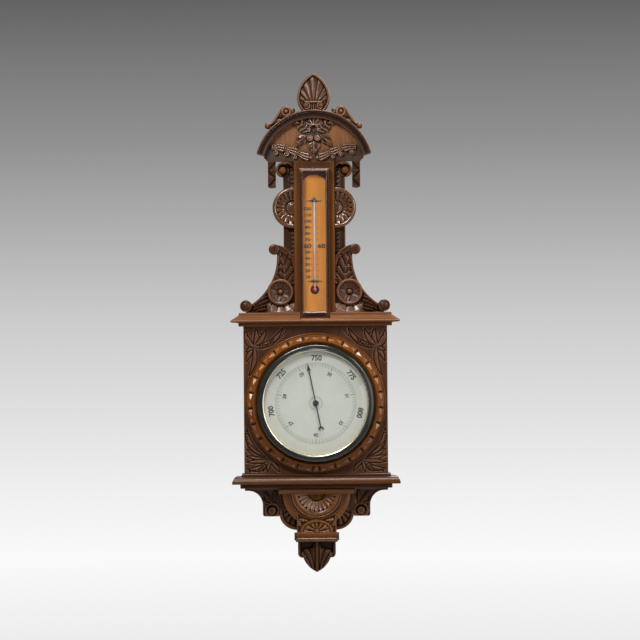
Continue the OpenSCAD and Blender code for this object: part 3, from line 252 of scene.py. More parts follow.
def turned(name, profile, steps, material, nodes=(), centre=(0, 0), sweep=(0, 360), carve=None, tint=None,
           crease=40):
    """A closed profile of (radius, depth) turned round the forward axis.

    carve(radius, angle) lowers it, and tint(radius, angle) is its own mark of hollows and edges, which paints
    shade and highlights on it.
    """
    profile = np.asarray(profile, dtype=float)
    closed = sweep[1] - sweep[0] == 360
    angles = np.radians(np.linspace(*sweep, steps, endpoint=not closed))[:, None]
    radius = np.broadcast_to(profile[:, 0], (steps, len(profile)))
    depth = np.broadcast_to(profile[:, 1], radius.shape)
    if carve:
        depth = depth - carve(radius, angles)
    rings = [centre[0] + radius * np.sin(angles), depth, centre[1] + radius * np.cos(angles)]
    piece = loft(name, np.stack(rings, axis=-1), material, nodes, closed, crease)
    if tint:
        piece.data.attributes["hollow"].data.foreach_set("value", tint(radius, angles).ravel())


# Lines


def arc(x, y, r, start, stop, steps=8):
    """Points on an arc, for profiles and paths."""
    angles = np.radians(np.linspace(start, stop, steps + 1))
    return [(x + r * math.cos(a), y + r * math.sin(a)) for a in angles]


def divided(points, pitch):
    """The same line with more points, about a pitch apart, so that the dirt and painted shade in hollows stay
    narrow.
    """
    points = np.asarray(points, dtype=float)
    line = [points[:1]]
    for a, b in zip(points[:-1], points[1:]):
        count = max(1, round(np.linalg.norm(b - a) / pitch))
        line.append(a + (b - a) * (np.arange(1, count + 1) / count)[:, None])
    return np.concatenate(line).tolist()


def stepped(corners, counts):
    """Points from corner to corner, in a count of even steps each, without the last corner."""
    corners = np.asarray(corners, dtype=float)
    stretches = zip(corners[:-1], corners[1:], counts)
    return [a + (b - a) * t for a, b, count in stretches for t in np.arange(count) / count]


def bow(start, end, bulge=0.0, steps=12):
    """A bent line between two points; bulge is its rise to the left as a share of its length."""
    start, end = np.asarray(start, dtype=float), np.asarray(end, dtype=float)
    t = np.linspace(0, 1, steps + 1)[:, None]
    run = end - start
    return start + run * t + np.array([-run[1], run[0]]) * bulge * 4 * t * (1 - t)


def along(x, z, path):
    """Share along a path, distance to its left, and its length."""
    path = np.asarray(path, dtype=float)
    lengths = np.linalg.norm(np.diff(path, axis=0), axis=1)
    near = np.full(x.shape, np.inf)
    share = np.zeros(x.shape)
    side = np.ones(x.shape)
    start = 0.0
    for (px, pz), (qx, qz), length in zip(path[:-1], path[1:], lengths):
        dx, dz = qx - px, qz - pz
        t = unit(((x - px) * dx + (z - pz) * dz) / length**2)
        gx, gz = x - px - t * dx, z - pz - t * dz
        gap = gx * gx + gz * gz
        better = gap < near
        near = np.where(better, gap, near)
        share = np.where(better, (start + t * length) / lengths.sum(), share)
        side = np.where(better, np.sign(dx * gz - dz * gx), side)
        start += length
    return share, side * np.sqrt(near), lengths.sum()


def polar(x, z, cx, cz):
    """Distance from a centre and angle from straight up."""
    return np.hypot(x - cx, z - cz), np.arctan2(x - cx, z - cz)


# Drawn shapes: signed distances, below zero inside


def disc(x, z, cx, cz, r):
    return np.hypot(x - cx, z - cz) - r


def slab(x, z, half, foot, top, start=-1):
    """A rectangle between two heights, from start out to half of the whole width."""
    return both(start - x, x - half, foot - z, z - top)


def polygon(x, z, points):
    """Distance to a closed polygon."""
    near = np.full(x.shape, np.inf)
    inside = np.zeros(x.shape, dtype=bool)
    for (ax, az), (bx, bz) in zip(points, points[1:] + points[:1]):
        dx, dz = bx - ax, bz - az
        t = unit(((x - ax) * dx + (z - az) * dz) / (dx * dx + dz * dz))
        near = np.minimum(near, (x - ax - t * dx) ** 2 + (z - az - t * dz) ** 2)
        if dz:
            inside ^= ((az > z) != (bz > z)) & (x < ax + (z - az) * dx / dz)
    return np.where(inside, -1, 1) * np.sqrt(near)


def either(*shapes):
    return np.minimum.reduce(shapes)


def both(*shapes):
    return np.maximum.reduce(shapes)


# Ornament: heights in millimetres


def unit(value):
    return np.clip(value, 0, 1)


def ease(low, high, value):
    """0 below low, 1 above high and smooth between."""
    t = unit((value - low) / (high - low))
    return t * t * (3 - 2 * t)


def hump(t):
    """A half circle: 1 at 0, down to 0 at -1 and 1."""
    return np.sqrt(unit(1 - t**2))


def layers(base, *changes):
    """A base height that each (where, height) pair replaces in turn."""
    for where, height in changes:
        base = np.where(where, height, base)
    return base


def fall(value, middle, half, drop):
    """How far a rounded band falls off beside its middle: by drop at half its width."""
    return drop * ((value - middle) / half) ** 2


def dome(x, z, cx, cz, r, rise):
    """A round boss."""
    return rise * hump(np.hypot(x - cx, z - cz) / r)


def pit(square, spread, depth):
    """A round hollow; square is the squared distance from its middle, and spread that of its edge."""
    return depth * unit(1 - square / spread)


def groove(gap, half, depth):
    """A V-cut along a line whose distance is given."""
    return depth * unit(1 - np.abs(gap) / half)


def leaf_half(share, half, lobes=0, bias=0.8):
    """Half-width of a leaf along its midrib; bias below 1 puts the widest place near its root."""
    width = half * np.sin(np.pi * unit(share) ** bias) ** 0.8
    if lobes:
        width = width * (1 - 0.3 * (1 - np.abs(np.sin(np.pi * lobes * share)) ** 0.6))
    return width


def leaf_shape(x, z, spine, half, lobes=0, bias=0.8, margin=6.0):
    """Outline of a leaf along a bent midrib, with the share along it and the distance from it."""
    spine = np.asarray(spine, dtype=float)
    low, high = spine.min(axis=0) - half - margin, spine.max(axis=0) + half + margin
    near = (x > low[0]) & (x < high[0]) & (z > low[1]) & (z < high[1])
    gap, share, off = (np.full(x.shape, fill) for fill in (margin, 0.0, margin))
    share[near], off[near], _ = along(x[near], z[near], spine)
    gap[near] = np.abs(off[near]) - leaf_half(share[near], half, lobes, bias)
    return gap, share, off


def leaf(x, z, spine, half, rise, lobes=0, veins=6, edge=0.35, cupped=0.0, bias=0.8, fluted=0.22):
    """A leaf along a bent midrib; cupped hollows its blade between midrib and edge."""
    gap, share, off = leaf_shape(x, z, spine, half, lobes, bias)
    across = np.abs(off) / np.maximum(leaf_half(share, half, lobes, bias), 0.05)
    rib = np.exp(-((off / (0.5 + 0.06 * half)) ** 2))
    vein = 0.5 + 0.5 * np.cos(2 * np.pi * (veins * share - 0.8 * across))
    blade = hump(across) * (1 - fluted + fluted * vein) - cupped * np.sin(np.pi * unit(across))
    value = rise * (edge + (1 - edge) * blade + 0.16 * rib)
    return np.where((gap < 0) & (share > 0) & (share < 1), value, 0)


def volute(x, z, cx, cz, r, start, turns, rise, eye):
    """A spiral roll round a ball, winding in clockwise; its outer end lies at start degrees."""
    rho = np.hypot(x - cx, z - cz) / r
    angle = (math.radians(start) - np.arctan2(z - cz, x - cx)) / (2 * np.pi)
    wind = np.log(np.maximum(rho, 1e-3)) / math.log(eye) * turns
    roll = np.sqrt(unit(np.sin(np.pi * ((wind - angle) % 1))))
    ball = 0.75 + 0.45 * hump(rho / eye)
    return np.where(rho < 1, rise * np.where(rho < eye, ball, 0.35 + 0.65 * roll), 0)


def beads(x, z, path, pitch, r, depth):
    """A row of round punches along a path."""
    share, off, length = along(x, z, path)
    count = max(1, round(length / pitch))
    step = (share * count) % 1 - 0.5
    return pit((step * length / count) ** 2 + off**2, r**2, depth)


def stipple(x, z, pitch, depth, spread=0.16):
    """An even punched ground."""
    row = np.round(z / pitch)
    dx = (x / pitch + 0.5 * (row % 2)) % 1 - 0.5
    return pit(dx**2 + (z / pitch - row) ** 2, spread, depth)


def petal_round(r, angle, count, phase=0.5):
    """Place across a petal of an even round, from -0.5 to 0.5, and the petal's width there."""
    return (angle / (2 * np.pi) * count + phase) % 1 - 0.5, 2 * np.pi / count * r


def petal_bowl(r, turn, start, long, rise, power, ridge, fade):
    """Petals that rise outward from a start radius, each with a rounded back."""
    share = unit((r - start) / long)
    return rise * share**power + ridge * hump(2 * turn) * ease(0, fade, share)


# Materials


class Recipe:
    """A material made of nodes, with the record's slot that it belongs to; without a slot it is a world."""

    def __init__(self, name, slot=None):
        self.owner = bpy.data.materials.new(name) if slot else bpy.data.worlds.new(name)
        self.owner.use_nodes = True
        self.tree = self.owner.node_tree
        self.end = self.tree.nodes["Principled BSDF" if slot else "World Output"]
        if slot:
            self.owner["slot"] = slot

    def set(self, node, key, value):
        """Feeds a socket, which is called by its name, with _ for a space, or by _ and its number."""
        socket = node.inputs[int(key[1:]) if key[1:].isdigit() else key.replace("_", " ")]
        if isinstance(value, bpy.types.NodeSocket):
            self.tree.links.new(value, socket)
        else:
            socket.default_value = (*value, 1.0) if socket.type == "RGBA" else value

    def add(self, kind, out=0, options=None, **inputs):
        """A new node; options are its settings and inputs its sockets."""
        node = self.tree.nodes.new("ShaderNode" + kind)
        for key, value in (options or {}).items():
            setattr(node, key, value)
        for key, value in inputs.items():
            self.set(node, key, value)
        return node.outputs[out]

    def finish(self, **inputs):
        for key, value in inputs.items():
            self.set(self.end, key, value)
        return self.owner

    def where(self, scale):
        """Object coordinates, in metres, stretched by a scale for each axis."""
        return self.add("Mapping", Vector=self.add("TexCoord", out="Object"), Scale=scale)

    def axis(self, letter):
        """Object coordinate along one axis, in metres."""
        return self.add("SeparateXYZ", out=letter, Vector=self.where((1, 1, 1)))

    def noise(self, scale, detail=4, roughness=0.55, distortion=0.0):
        return self.add("TexNoise", Vector=self.where(scale), Scale=1, Detail=detail,
                        Roughness=roughness, Distortion=distortion)

    def range(self, value, low, high, to_low=0.0, to_high=1.0):
        return self.add("MapRange", Value=value, From_Min=low, From_Max=high, To_Min=to_low, To_Max=to_high)

    def calc(self, operation, *values):
        inputs = {"_%d" % i: value for i, value in enumerate(values)}
        return self.add("Math", options={"operation": operation}, **inputs)

    def sum(self, *terms):
        """Adds up (value, factor) pairs."""
        total = 0.0
        for value, factor in terms:
            total = self.calc("MULTIPLY_ADD", value, factor, total)
        return total

    def mix(self, share, a, b):
        return self.add("Mix", out=2, options={"data_type": "RGBA"}, _0=share, _6=a, _7=b)

    def bump(self, height, strength, distance, **normal):
        return self.add("Bump", Strength=strength, Distance=distance, Height=height, **normal)


# Lighter colour of wear and painted highlights on edges, darker colour of dirt and painted shade in hollows.
WORN_AND_LIT = (0.270, 0.105, 0.038)
DIRT_AND_SHADE = (0.0060, 0.0030, 0.0018)
BANDS_ALONG, BANDS_ACROSS, BAND_SHARE = 14, 150, 0.75
PORES_ALONG, PORES_ACROSS, PORE_SHARE = 60, 1300, 0.30
CLOUDS, RIPPLES, PATINA, GRIT = (22,) * 3, (420,) * 3, (70,) * 3, (900,) * 3
CLOUD_SHARE, UNEVEN = 0.45, 0.4
TONE_BELOW, TONE_ABOVE, PORE_RANGE = 0.26, 0.28, (0.3, 0.75)
RUB_AND_HIGHLIGHT_RANGE, DIRT_AND_SHADE_RANGE, DIRT_AND_SHADE_MOST = (-0.15, -0.9), (0.08, 0.75), 0.90
DULL_RANGE, DULL_MOST, GRIT_RANGE = (0.1, 0.7), 0.3, (0.3, 0.7)


def wood(name, slot, dark, light, worn_and_lit=WORN_AND_LIT, dirt_and_shade=DIRT_AND_SHADE, grain="z", gloss=0.32, figure=1.0, shine=0.5,
         rub_and_highlight=0.35, shade=None):
    """Waxed wood, streaked along one axis: dirt and painted shade in hollows, wear and painted highlights on
    edges.

    shade is (clear height, dark height, rise of both per millimetre sideways, strength) of painted shade.
    """
    recipe = Recipe(name, slot)
    coarse = [BANDS_ALONG if axis == grain else BANDS_ACROSS for axis in "xyz"]
    fine = [PORES_ALONG if axis == grain else PORES_ACROSS for axis in "xyz"]
    bands = recipe.noise(coarse, detail=5, distortion=0.7)
    pores = recipe.noise(fine, detail=3, roughness=0.65)
    cloud = recipe.noise(CLOUDS, detail=3)
    tone = recipe.sum((bands, BAND_SHARE * figure), (pores, PORE_SHARE * figure), (cloud, CLOUD_SHARE))
    middle = 0.5 * ((BAND_SHARE + PORE_SHARE) * figure + CLOUD_SHARE)
    colour = recipe.mix(recipe.range(tone, middle - TONE_BELOW, middle + TONE_ABOVE), dark, light)
    hollow = recipe.add("Attribute", out="Fac", options={"attribute_name": "hollow"})
    uneven = recipe.sum((hollow, 1.0), (cloud, UNEVEN), (0.5, -UNEVEN))
    # Wear and painted highlights: sharp edges and raised places get the lighter worn colour.
    colour = recipe.mix(recipe.range(uneven, *RUB_AND_HIGHLIGHT_RANGE, 0, rub_and_highlight), colour, worn_and_lit)
    # Dirt and painted shade: the deeper a place lies under its surroundings, the darker it gets.
    colour = recipe.mix(recipe.range(uneven, *DIRT_AND_SHADE_RANGE, 0, DIRT_AND_SHADE_MOST), colour, dirt_and_shade)
    # Painted shade: darkens the wood towards the dark colour by height, for parts that lie in shadow.
    if shade:
        clear, shaded, lean, strength = shade
        level = recipe.sum((recipe.axis("Z"), 1.0), (recipe.calc("ABSOLUTE", recipe.axis("X")), -lean))
        painted_shade = recipe.range(level, (clear + axis_z) * MM, (shaded + axis_z) * MM, 0, strength)
        colour = recipe.mix(painted_shade, colour, dirt_and_shade)
    sheen = recipe.range(pores, *PORE_RANGE, gloss - 0.05, gloss + 0.10)
    dull = recipe.range(uneven, *DULL_RANGE, 0, DULL_MOST)
    rough = recipe.sum((dull, 1.0), (sheen, 1.0))
    skin = recipe.bump(pores, strength=0.16, distance=0.0003)
    ripples = recipe.noise(RIPPLES, detail=2)
    skin = recipe.bump(ripples, strength=0.10, distance=0.0006, Normal=skin)
    return recipe.finish(Base_Color=colour, Roughness=rough, Normal=skin, Specular_IOR_Level=shine)


def metal(name, slot, colour, tarnish, rough):
    """Metal with a worn patina and fine tool marks."""
    recipe = Recipe(name, slot)
    age = recipe.noise(PATINA, detail=5)
    marks = recipe.noise(GRIT, detail=2)
    tone = recipe.mix(recipe.range(age, 0.42, 0.72), colour, tarnish)
    gloss = recipe.range(marks, *GRIT_RANGE, rough - 0.06, rough + 0.10)
    skin = recipe.bump(marks, strength=0.05, distance=0.0002)
    return recipe.finish(Base_Color=tone, Roughness=gloss, Metallic=1.0, Normal=skin)


def coated(name, slot, colour, second, rough, scale=40, coat=0.0, shine=0.5):
    """Enamel, paint or ink with a faint uneven tone."""
    recipe = Recipe(name, slot)
    cloud = recipe.noise((scale,) * 3, detail=4)
    grit = recipe.noise(GRIT, detail=2)
    tone = recipe.mix(recipe.range(cloud, 0.35, 0.75), colour, second)
    gloss = recipe.range(grit, *GRIT_RANGE, rough - 0.05, rough + 0.08)
    skin = recipe.bump(grit, strength=0.04, distance=0.0002)
    return recipe.finish(Base_Color=tone, Roughness=gloss, Coat_Weight=coat, Coat_Roughness=0.1,
                         Specular_IOR_Level=shine, Normal=skin)


def glass(name, slot, tint, smear):
    """Clear glass with faint smears; it lets light through to what lies behind it."""
    recipe = Recipe(name, slot)
    rough = recipe.range(recipe.noise((30, 30, 12), detail=4), 0.45, 0.8, 0.0, smear)
    material = recipe.finish(Base_Color=tint, Roughness=rough, Transmission_Weight=1.0, IOR=1.5)
    rays = [recipe.add("LightPath", out=kind) for kind in ("Is Shadow Ray", "Is Diffuse Ray")]
    clear = recipe.add("BsdfTransparent", Color=tint)
    surface = recipe.add("MixShader", _0=recipe.calc("MAXIMUM", *rays), _1=recipe.end.outputs[0], _2=clear)
    recipe.set(recipe.tree.nodes["Material Output"], "Surface", surface)
    return material


LIQUID_TOP, BULB_TOP = 290, 221
LIQUID_BLUR, BULB_BLUR = 0.01, 0.003
SILVERY, ROSY, BULB_RED = (0.44, 0.46, 0.47), (0.52, 0.27, 0.25), (0.45, 0.010, 0.016)


def tube(name, slot):
    """The thermometer's glass: silvery above the liquid, rosy over it and red round the bulb."""
    recipe = Recipe(name, slot)
    height = recipe.axis("Z")
    level, bulb = (LIQUID_TOP + axis_z) * MM, (BULB_TOP + axis_z) * MM
    tone = recipe.mix(recipe.range(height, level - LIQUID_BLUR, level + LIQUID_BLUR), ROSY, SILVERY)
    tone = recipe.mix(recipe.range(height, bulb - BULB_BLUR, bulb), BULB_RED, tone)
    streaks = recipe.noise((900, 900, 20), detail=3)
    gloss = recipe.range(streaks, *GRIT_RANGE, 0.05, 0.16)
    skin = recipe.bump(streaks, strength=0.05, distance=0.0002)
    return recipe.finish(Base_Color=tone, Roughness=gloss, Coat_Weight=1.0, Coat_Roughness=0.03, Normal=skin)


walnut = wood("walnut_upright", "walnut", (0.034, 0.0110, 0.0038), (0.115, 0.039, 0.0125),
              gloss=0.23, rub_and_highlight=0.3)
carved_wood = wood("walnut_polished", "walnut", (0.023, 0.0078, 0.0036), (0.098, 0.035, 0.0150),
                   worn_and_lit=(0.350, 0.190, 0.115), gloss=0.19, rub_and_highlight=0.55)
panel_wood = wood("walnut_panel", "walnut", (0.032, 0.0105, 0.0036), (0.092, 0.031, 0.0100),
                  gloss=0.36, shine=0.35)
trunk_wood = wood("walnut_trunk", "walnut", (0.025, 0.0076, 0.0024), (0.060, 0.0182, 0.0058),
                  gloss=0.28, shine=0.25, rub_and_highlight=0.22)
level_wood = wood("walnut_level", "walnut", (0.090, 0.030, 0.0080), (0.215, 0.076, 0.0210), grain="x",
                  worn_and_lit=(0.210, 0.078, 0.024), dirt_and_shade=(0.100, 0.034, 0.0100), gloss=0.34, shine=0.25)
ledge_wood = wood("walnut_ledge", "walnut", (0.036, 0.0114, 0.0028), (0.090, 0.0300, 0.0072), grain="x",
                  worn_and_lit=(0.150, 0.055, 0.018), gloss=0.27, shine=0.22)
hood_wood = wood("walnut_hood", "walnut", (0.034, 0.0118, 0.0048), (0.082, 0.030, 0.0125), grain="x",
                 gloss=0.30, shine=0.4, rub_and_highlight=0.12)
frame_wood = wood("walnut_frame", "walnut", (0.022, 0.0072, 0.0036), (0.050, 0.0170, 0.0080), gloss=0.24)
roundel_wood = wood("walnut_roundel", "walnut", (0.036, 0.0120, 0.0038), (0.104, 0.0355, 0.0102),
                    worn_and_lit=(0.290, 0.130, 0.052), gloss=0.16, shine=0.7)
# Lighter walnut for the scoops: painted light, so the tongues under the paterae look brightly lit.
lit_scoop_wood = wood("walnut_scoop", "walnut", (0.100, 0.0480, 0.0260), (0.210, 0.1100, 0.0640),
                  worn_and_lit=(0.420, 0.260, 0.170), gloss=0.22, shine=0.6)
# Painted shadow: shade darkens the pilaster head towards the top, where it lies under the hood.
strip_wood = wood("russet_strip", "walnut", (0.072, 0.0215, 0.0040), (0.170, 0.054, 0.0085),
                  worn_and_lit=(0.270, 0.105, 0.030), gloss=0.36, shine=0.12, shade=(405, 455, 0, 0.6))
russet = wood("russet", "russet_wood", (0.092, 0.026, 0.0045), (0.215, 0.071, 0.0115),
              worn_and_lit=(0.330, 0.136, 0.0360), dirt_and_shade=(0.012, 0.005, 0.002), gloss=0.25)
# Ring: the pale worn colour paints highlights on the chip floors, the dark colour paints shade on their end
# facets, and shade darkens the ring towards the bottom.
ring_wood = wood("russet_ring", "russet_wood", (0.125, 0.0330, 0.0045), (0.265, 0.0850, 0.0115),
                 worn_and_lit=(0.640, 0.330, 0.1500), dirt_and_shade=(0.018, 0.006, 0.002), gloss=0.20, shine=0.4, rub_and_highlight=0.85,
                 shade=(110, -140, 0, 0.62))
# Painted shadow: shade darkens the tympanum towards the bottom, under the garland, and its edge rises towards
# the sides.
honey = wood("honey", "honey_wood", (0.110, 0.036, 0.0075), (0.260, 0.098, 0.0210), gloss=0.30,
             worn_and_lit=(0.300, 0.135, 0.040), dirt_and_shade=(0.018, 0.007, 0.003), shade=(481, 467, 0.20, 0.85))
boxwood = wood("boxwood_scale", "boxwood", (0.520, 0.180, 0.022), (0.690, 0.265, 0.036), gloss=0.34,
               worn_and_lit=(0.700, 0.300, 0.055), dirt_and_shade=(0.200, 0.085, 0.016), figure=0.8, shine=0.15)

clear_glass = glass("clear_glass", "clear_glass", (0.965, 0.970, 0.955), smear=0.006)
tube_glass = tube("thermometer_glass", "clear_glass")
brass = metal("brass", "brass", (0.780, 0.580, 0.260), (0.520, 0.340, 0.120), 0.28)
pale_brass = metal("pale_brass", "brass", (0.880, 0.820, 0.640), (0.760, 0.660, 0.440), 0.26)
dark_metal = metal("dark_brass", "brass", (0.110, 0.100, 0.085), (0.060, 0.055, 0.050), 0.36)
blued = metal("blued_steel", "blued_steel", (0.030, 0.033, 0.045), (0.050, 0.048, 0.050), 0.30)
steel = metal("steel", "steel", (0.600, 0.610, 0.630), (0.420, 0.420, 0.420), 0.32)
spirit = coated("red_spirit", "red_spirit", (0.520, 0.012, 0.016), (0.360, 0.006, 0.010), 0.12, coat=1.0)
japan = coated("black_japan", "japanned_brass", (0.012, 0.012, 0.009), (0.025, 0.025, 0.019), 0.22,
               scale=60, coat=0.5)
enamel = coated("white_enamel", "white_enamel", (0.600, 0.612, 0.560), (0.560, 0.572, 0.522), 0.30)
ink = coated("dial_ink", "white_enamel", (0.009, 0.0105, 0.009), (0.017, 0.019, 0.016), 0.40)
# A near-black coat for the disc behind the bulb: painted shade of a recess.
recess_shade = coated("dark_recess", "walnut", (0.010, 0.004, 0.003), (0.018, 0.007, 0.005), 0.55, shine=0.05)
red_shade = coated("red_shade", "walnut", (0.150, 0.028, 0.018), (0.090, 0.018, 0.012), 0.6, shine=0.05)

# Dial panel: leaves cut in outline, fanning from one point in each corner, and punched dots

panel = Extent("front_panel")
ring = Extent("dial_ring")
UPPER_APEX, LOWER_APEX = (116, 107), (87, -110)
UPPER_BLADES = [
    ((126, 52), -0.10, 4.6), ((131, 78), 0.05, 4.2), ((132, 98), 0.0, 3.2), ((132, 113), 0.0, 3.0),
    ((131, 138), -0.16, 5.4), ((113, 142), 0.10, 4.6), ((93, 141), 0.10, 4.6), ((62, 143), 0.17, 5.0),
    ((78, 124), 0.12, 4.0),
]
LOWER_BLADES = [
    ((131, -46), -0.17, 6.4), ((132, -70), -0.08, 4.8), ((132, -86), -0.04, 4.2), ((132, -99), 0.0, 3.8),
    ((132, -111), 0.02, 3.6), ((131, -124), -0.13, 5.0), ((108, -130), 0.08, 4.2), ((92, -130.5), 0.05, 3.6),
    ((70, -130), -0.10, 3.8),
]
BLADE_SWELL, BLADE_CUT_HALF, BLADE_CUT_DEEP = 1.1, 1.3, 2.6
DOT_ROWS = [
    bow((112, 110), (52, 142), 0.16), bow((108, 108), (80, 122), 0.12), bow((95, -103), (130, -50), -0.22),
    bow((95, -114), (128, -125), -0.16),
]
DOT_SPOTS = [(128, 128), (121, 131), (127, 105), (103, 132), (128, -57), (126, -129), (100, -127)]
DOT_PITCH, DOT_R, DOT_DEEP = 5.0, 1.8, 3.4
PANEL_SINK, RING_COVER = 0.9, 6


def panel_shape(x, z):
    return both(slab(x, z, panel.half, panel.foot, panel.top), -disc(x, z, 0, 0, ring.half - RING_COVER))


def panel_front(x, z):
    cut = swell = np.zeros(x.shape)
    for apex, blades in ((UPPER_APEX, UPPER_BLADES), (LOWER_APEX, LOWER_BLADES)):
        for tip, bulge, half in blades:
            gap, share, _ = leaf_shape(x, z, bow(apex, tip, bulge), half)
            inside = (gap < 0) & (share > 0.02)
            swell = np.where(inside, BLADE_SWELL * np.sqrt(unit(-gap / half)), swell)
            edge = groove(gap, BLADE_CUT_HALF, BLADE_CUT_DEEP) * ease(0.03, 0.2, share)
            cut = np.maximum(np.where(inside, 0, cut), edge)
    for row in DOT_ROWS:
        cut = np.maximum(cut, beads(x, z, row, DOT_PITCH, DOT_R, DOT_DEEP))
    for spot in DOT_SPOTS:
        cut = np.maximum(cut, dome(x, z, *spot, DOT_R, DOT_DEEP))
    return panel.front - PANEL_SINK + swell - cut


relief("carved_front_panel", panel, panel_shape, panel_front, 0.9, panel_wood)

# Dial ring: a bead, a band of triangular chips and a smooth inner slope

CHIPS_EACH_SIDE, FIRST_CHIP = 13, math.radians(10.0)
CHIP_LONG, CHIP_HALF, CHIP_DEEP, CHIP_WALL, CHIP_END = 18.0, 5.3, 6.6, 0.5, 3.6
NICK_FROM, NICK_LONG, NICK_HALF, NICK_DEEP, NICK_SHIFT = 19.5, 8.0, 3.6, 2.4, 1.5
RING_WIDE, RING_SIDE, BEAD_R = 20.4, 5.4, 1.2
ROLL_HIGH, ROLL_LEAN, SLOPE_WIDE, SLOPE_DROP = 10.8, 0.8, 4.5, 5.6
roll_in, roll_out = ring.half - 15.4, ring.half - 3.2
roll_mid, roll_half = (roll_in + roll_out) / 2, (roll_out - roll_in) / 2


def from_top(angle):
    """Angle from straight up, the same to both sides."""
    return np.abs((angle + np.pi) % (2 * np.pi) - np.pi)


def chip_parts(radius, angle):
    """Depths of the triangular chips and of the small nicks between them, and the run along each chip."""
    pitch = np.pi / CHIPS_EACH_SIDE
    run = (((from_top(angle) - FIRST_CHIP) / pitch) % 1) * pitch * roll_mid
    off = np.abs(radius - roll_mid)
    fade = unit(1 - run / CHIP_LONG)
    chip = CHIP_DEEP * fade * unit((CHIP_HALF * fade - off) / CHIP_WALL)
    grow = unit((run - NICK_FROM) / NICK_LONG) * (run < NICK_FROM + NICK_LONG)
    nick = NICK_DEEP * grow * unit((NICK_HALF * grow - np.abs(radius - roll_mid - NICK_SHIFT)) / CHIP_WALL)
    on_band = off < roll_half + 0.01
    return chip * on_band, nick * on_band, run + 0 * radius


def ring_cut(radius, angle):
    chip, nick, run = chip_parts(radius, angle)
    return chip * unit(run / CHIP_END) + nick


def ring_tint(radius, angle):
    """Painted highlights on chip floors and nicks, strongest at the sides of the upper half, and painted
    shade on end facets.
    """
    chip, nick, run = chip_parts(radius, angle)
    painted_glint = 0.6 + 0.4 * np.sin(2 * from_top(angle))
    floor = np.where(run > CHIP_END, -painted_glint, 0.5)
    return np.where(chip > 0.2, floor, np.where(nick > 0.1, -0.6, 0.0))


ring_profile = (
    [(ring.half - RING_WIDE, ring.back), (ring.half, ring.back), (ring.half, ring.back + RING_SIDE)]
    + arc(ring.half - BEAD_R, ring.back + RING_SIDE + 0.4, BEAD_R, 0, 150, 5)
    + [(roll_out + 0.1, ring.back + RING_SIDE + 0.2)]
    + [(r, ring.back + ROLL_HIGH - ROLL_LEAN * (r - roll_mid) / roll_half)
       for r in np.linspace(roll_out, roll_in, 33)]
    + [(roll_in - 0.5 - SLOPE_WIDE * t, ring.back + ROLL_HIGH + 0.6 - SLOPE_DROP * t**0.8)
       for t in np.linspace(0, 1, 7)]
)
turned("carved_dial_ring", ring_profile, 936, ring_wood, [ring.node], carve=ring_cut, tint=ring_tint,
       crease=35)

# Cornices: the same moulding along the front and both ends

TRUNK_HALF, BOARD_FRONT = 58.6, 14.0
CORNICE_INNER = (TRUNK_HALF + 0.1, BOARD_FRONT + 0.1)


def cornice(name, extent, profile, material, start=None):
    """A moulding of (overhang, height) points round the case, or round one corner from x = start."""
    profile = divided(profile, 1.1)

    def plan(half, front):
        if start is None:
            return [(-half, 0.0), (-half, front), (half, front), (half, 0.0)]
        end = math.copysign(half, start)
        return [(start, front), (end, front), (end, 0.0)]

    lines = [(plan(panel.half + over, panel.front + over), level) for over, level in profile]
    lines += [(plan(*CORNICE_INNER), level) for _, level in (profile[-1], profile[0])]
    counts = (12, 60, 12) if start is None else (30, 12)
    rings = [
        [(x, depth, extent.foot + level) for x, depth in stepped(corners, counts) + [corners[-1]]]
        for corners, level in lines
    ]
    loft(name, np.transpose(rings, (1, 0, 2)), material, [extent.node], crease=35)


top = Extent("top_cornice")
lip_over = top.half - panel.half
BED_OVER, BED_HIGH, LIP_HIGH, LIP_WIDE, ARRIS = 9.0, 6.4, 8.6, 9.0, 0.8
EDGE_R, EDGE_RISE, SLOPE_HIGH = 2.15, 1.3, 5.9
STEP_OVER, STEP_HIGH, STEP_R, NOTCH_HALF = 8.3, 10.7, 1.2, 28.6
notch_z = BED_HIGH + LIP_HIGH
edge_round = arc(lip_over - EDGE_R, BED_HIGH + EDGE_RISE + EDGE_R, EDGE_R, -90, 60, 8)
slope_over, slope_foot = edge_round[-1]
notch_share = (notch_z - slope_foot) / (notch_z + SLOPE_HIGH - slope_foot)
notch = (slope_over + notch_share * (STEP_OVER - slope_over), notch_z)
cornice("moulded_top_cornice", top, (
    [(BED_OVER - ARRIS, 0.0), (BED_OVER, ARRIS), (BED_OVER, BED_HIGH - ARRIS), (BED_OVER + 0.6, BED_HIGH)]
    + [(lip_over - LIP_WIDE, BED_HIGH + 0.5)] + edge_round + [notch]
), level_wood)
for side, way in (("left", -1), ("right", 1)):
    cornice("moulded_cornice_step_" + side, top, (
        [notch, (STEP_OVER + 0.3, notch_z + SLOPE_HIGH)]
        + arc(STEP_OVER - STEP_R, notch_z + STEP_HIGH - STEP_R, STEP_R, 0, 90, 5)
    ), level_wood, way * NOTCH_HALF)

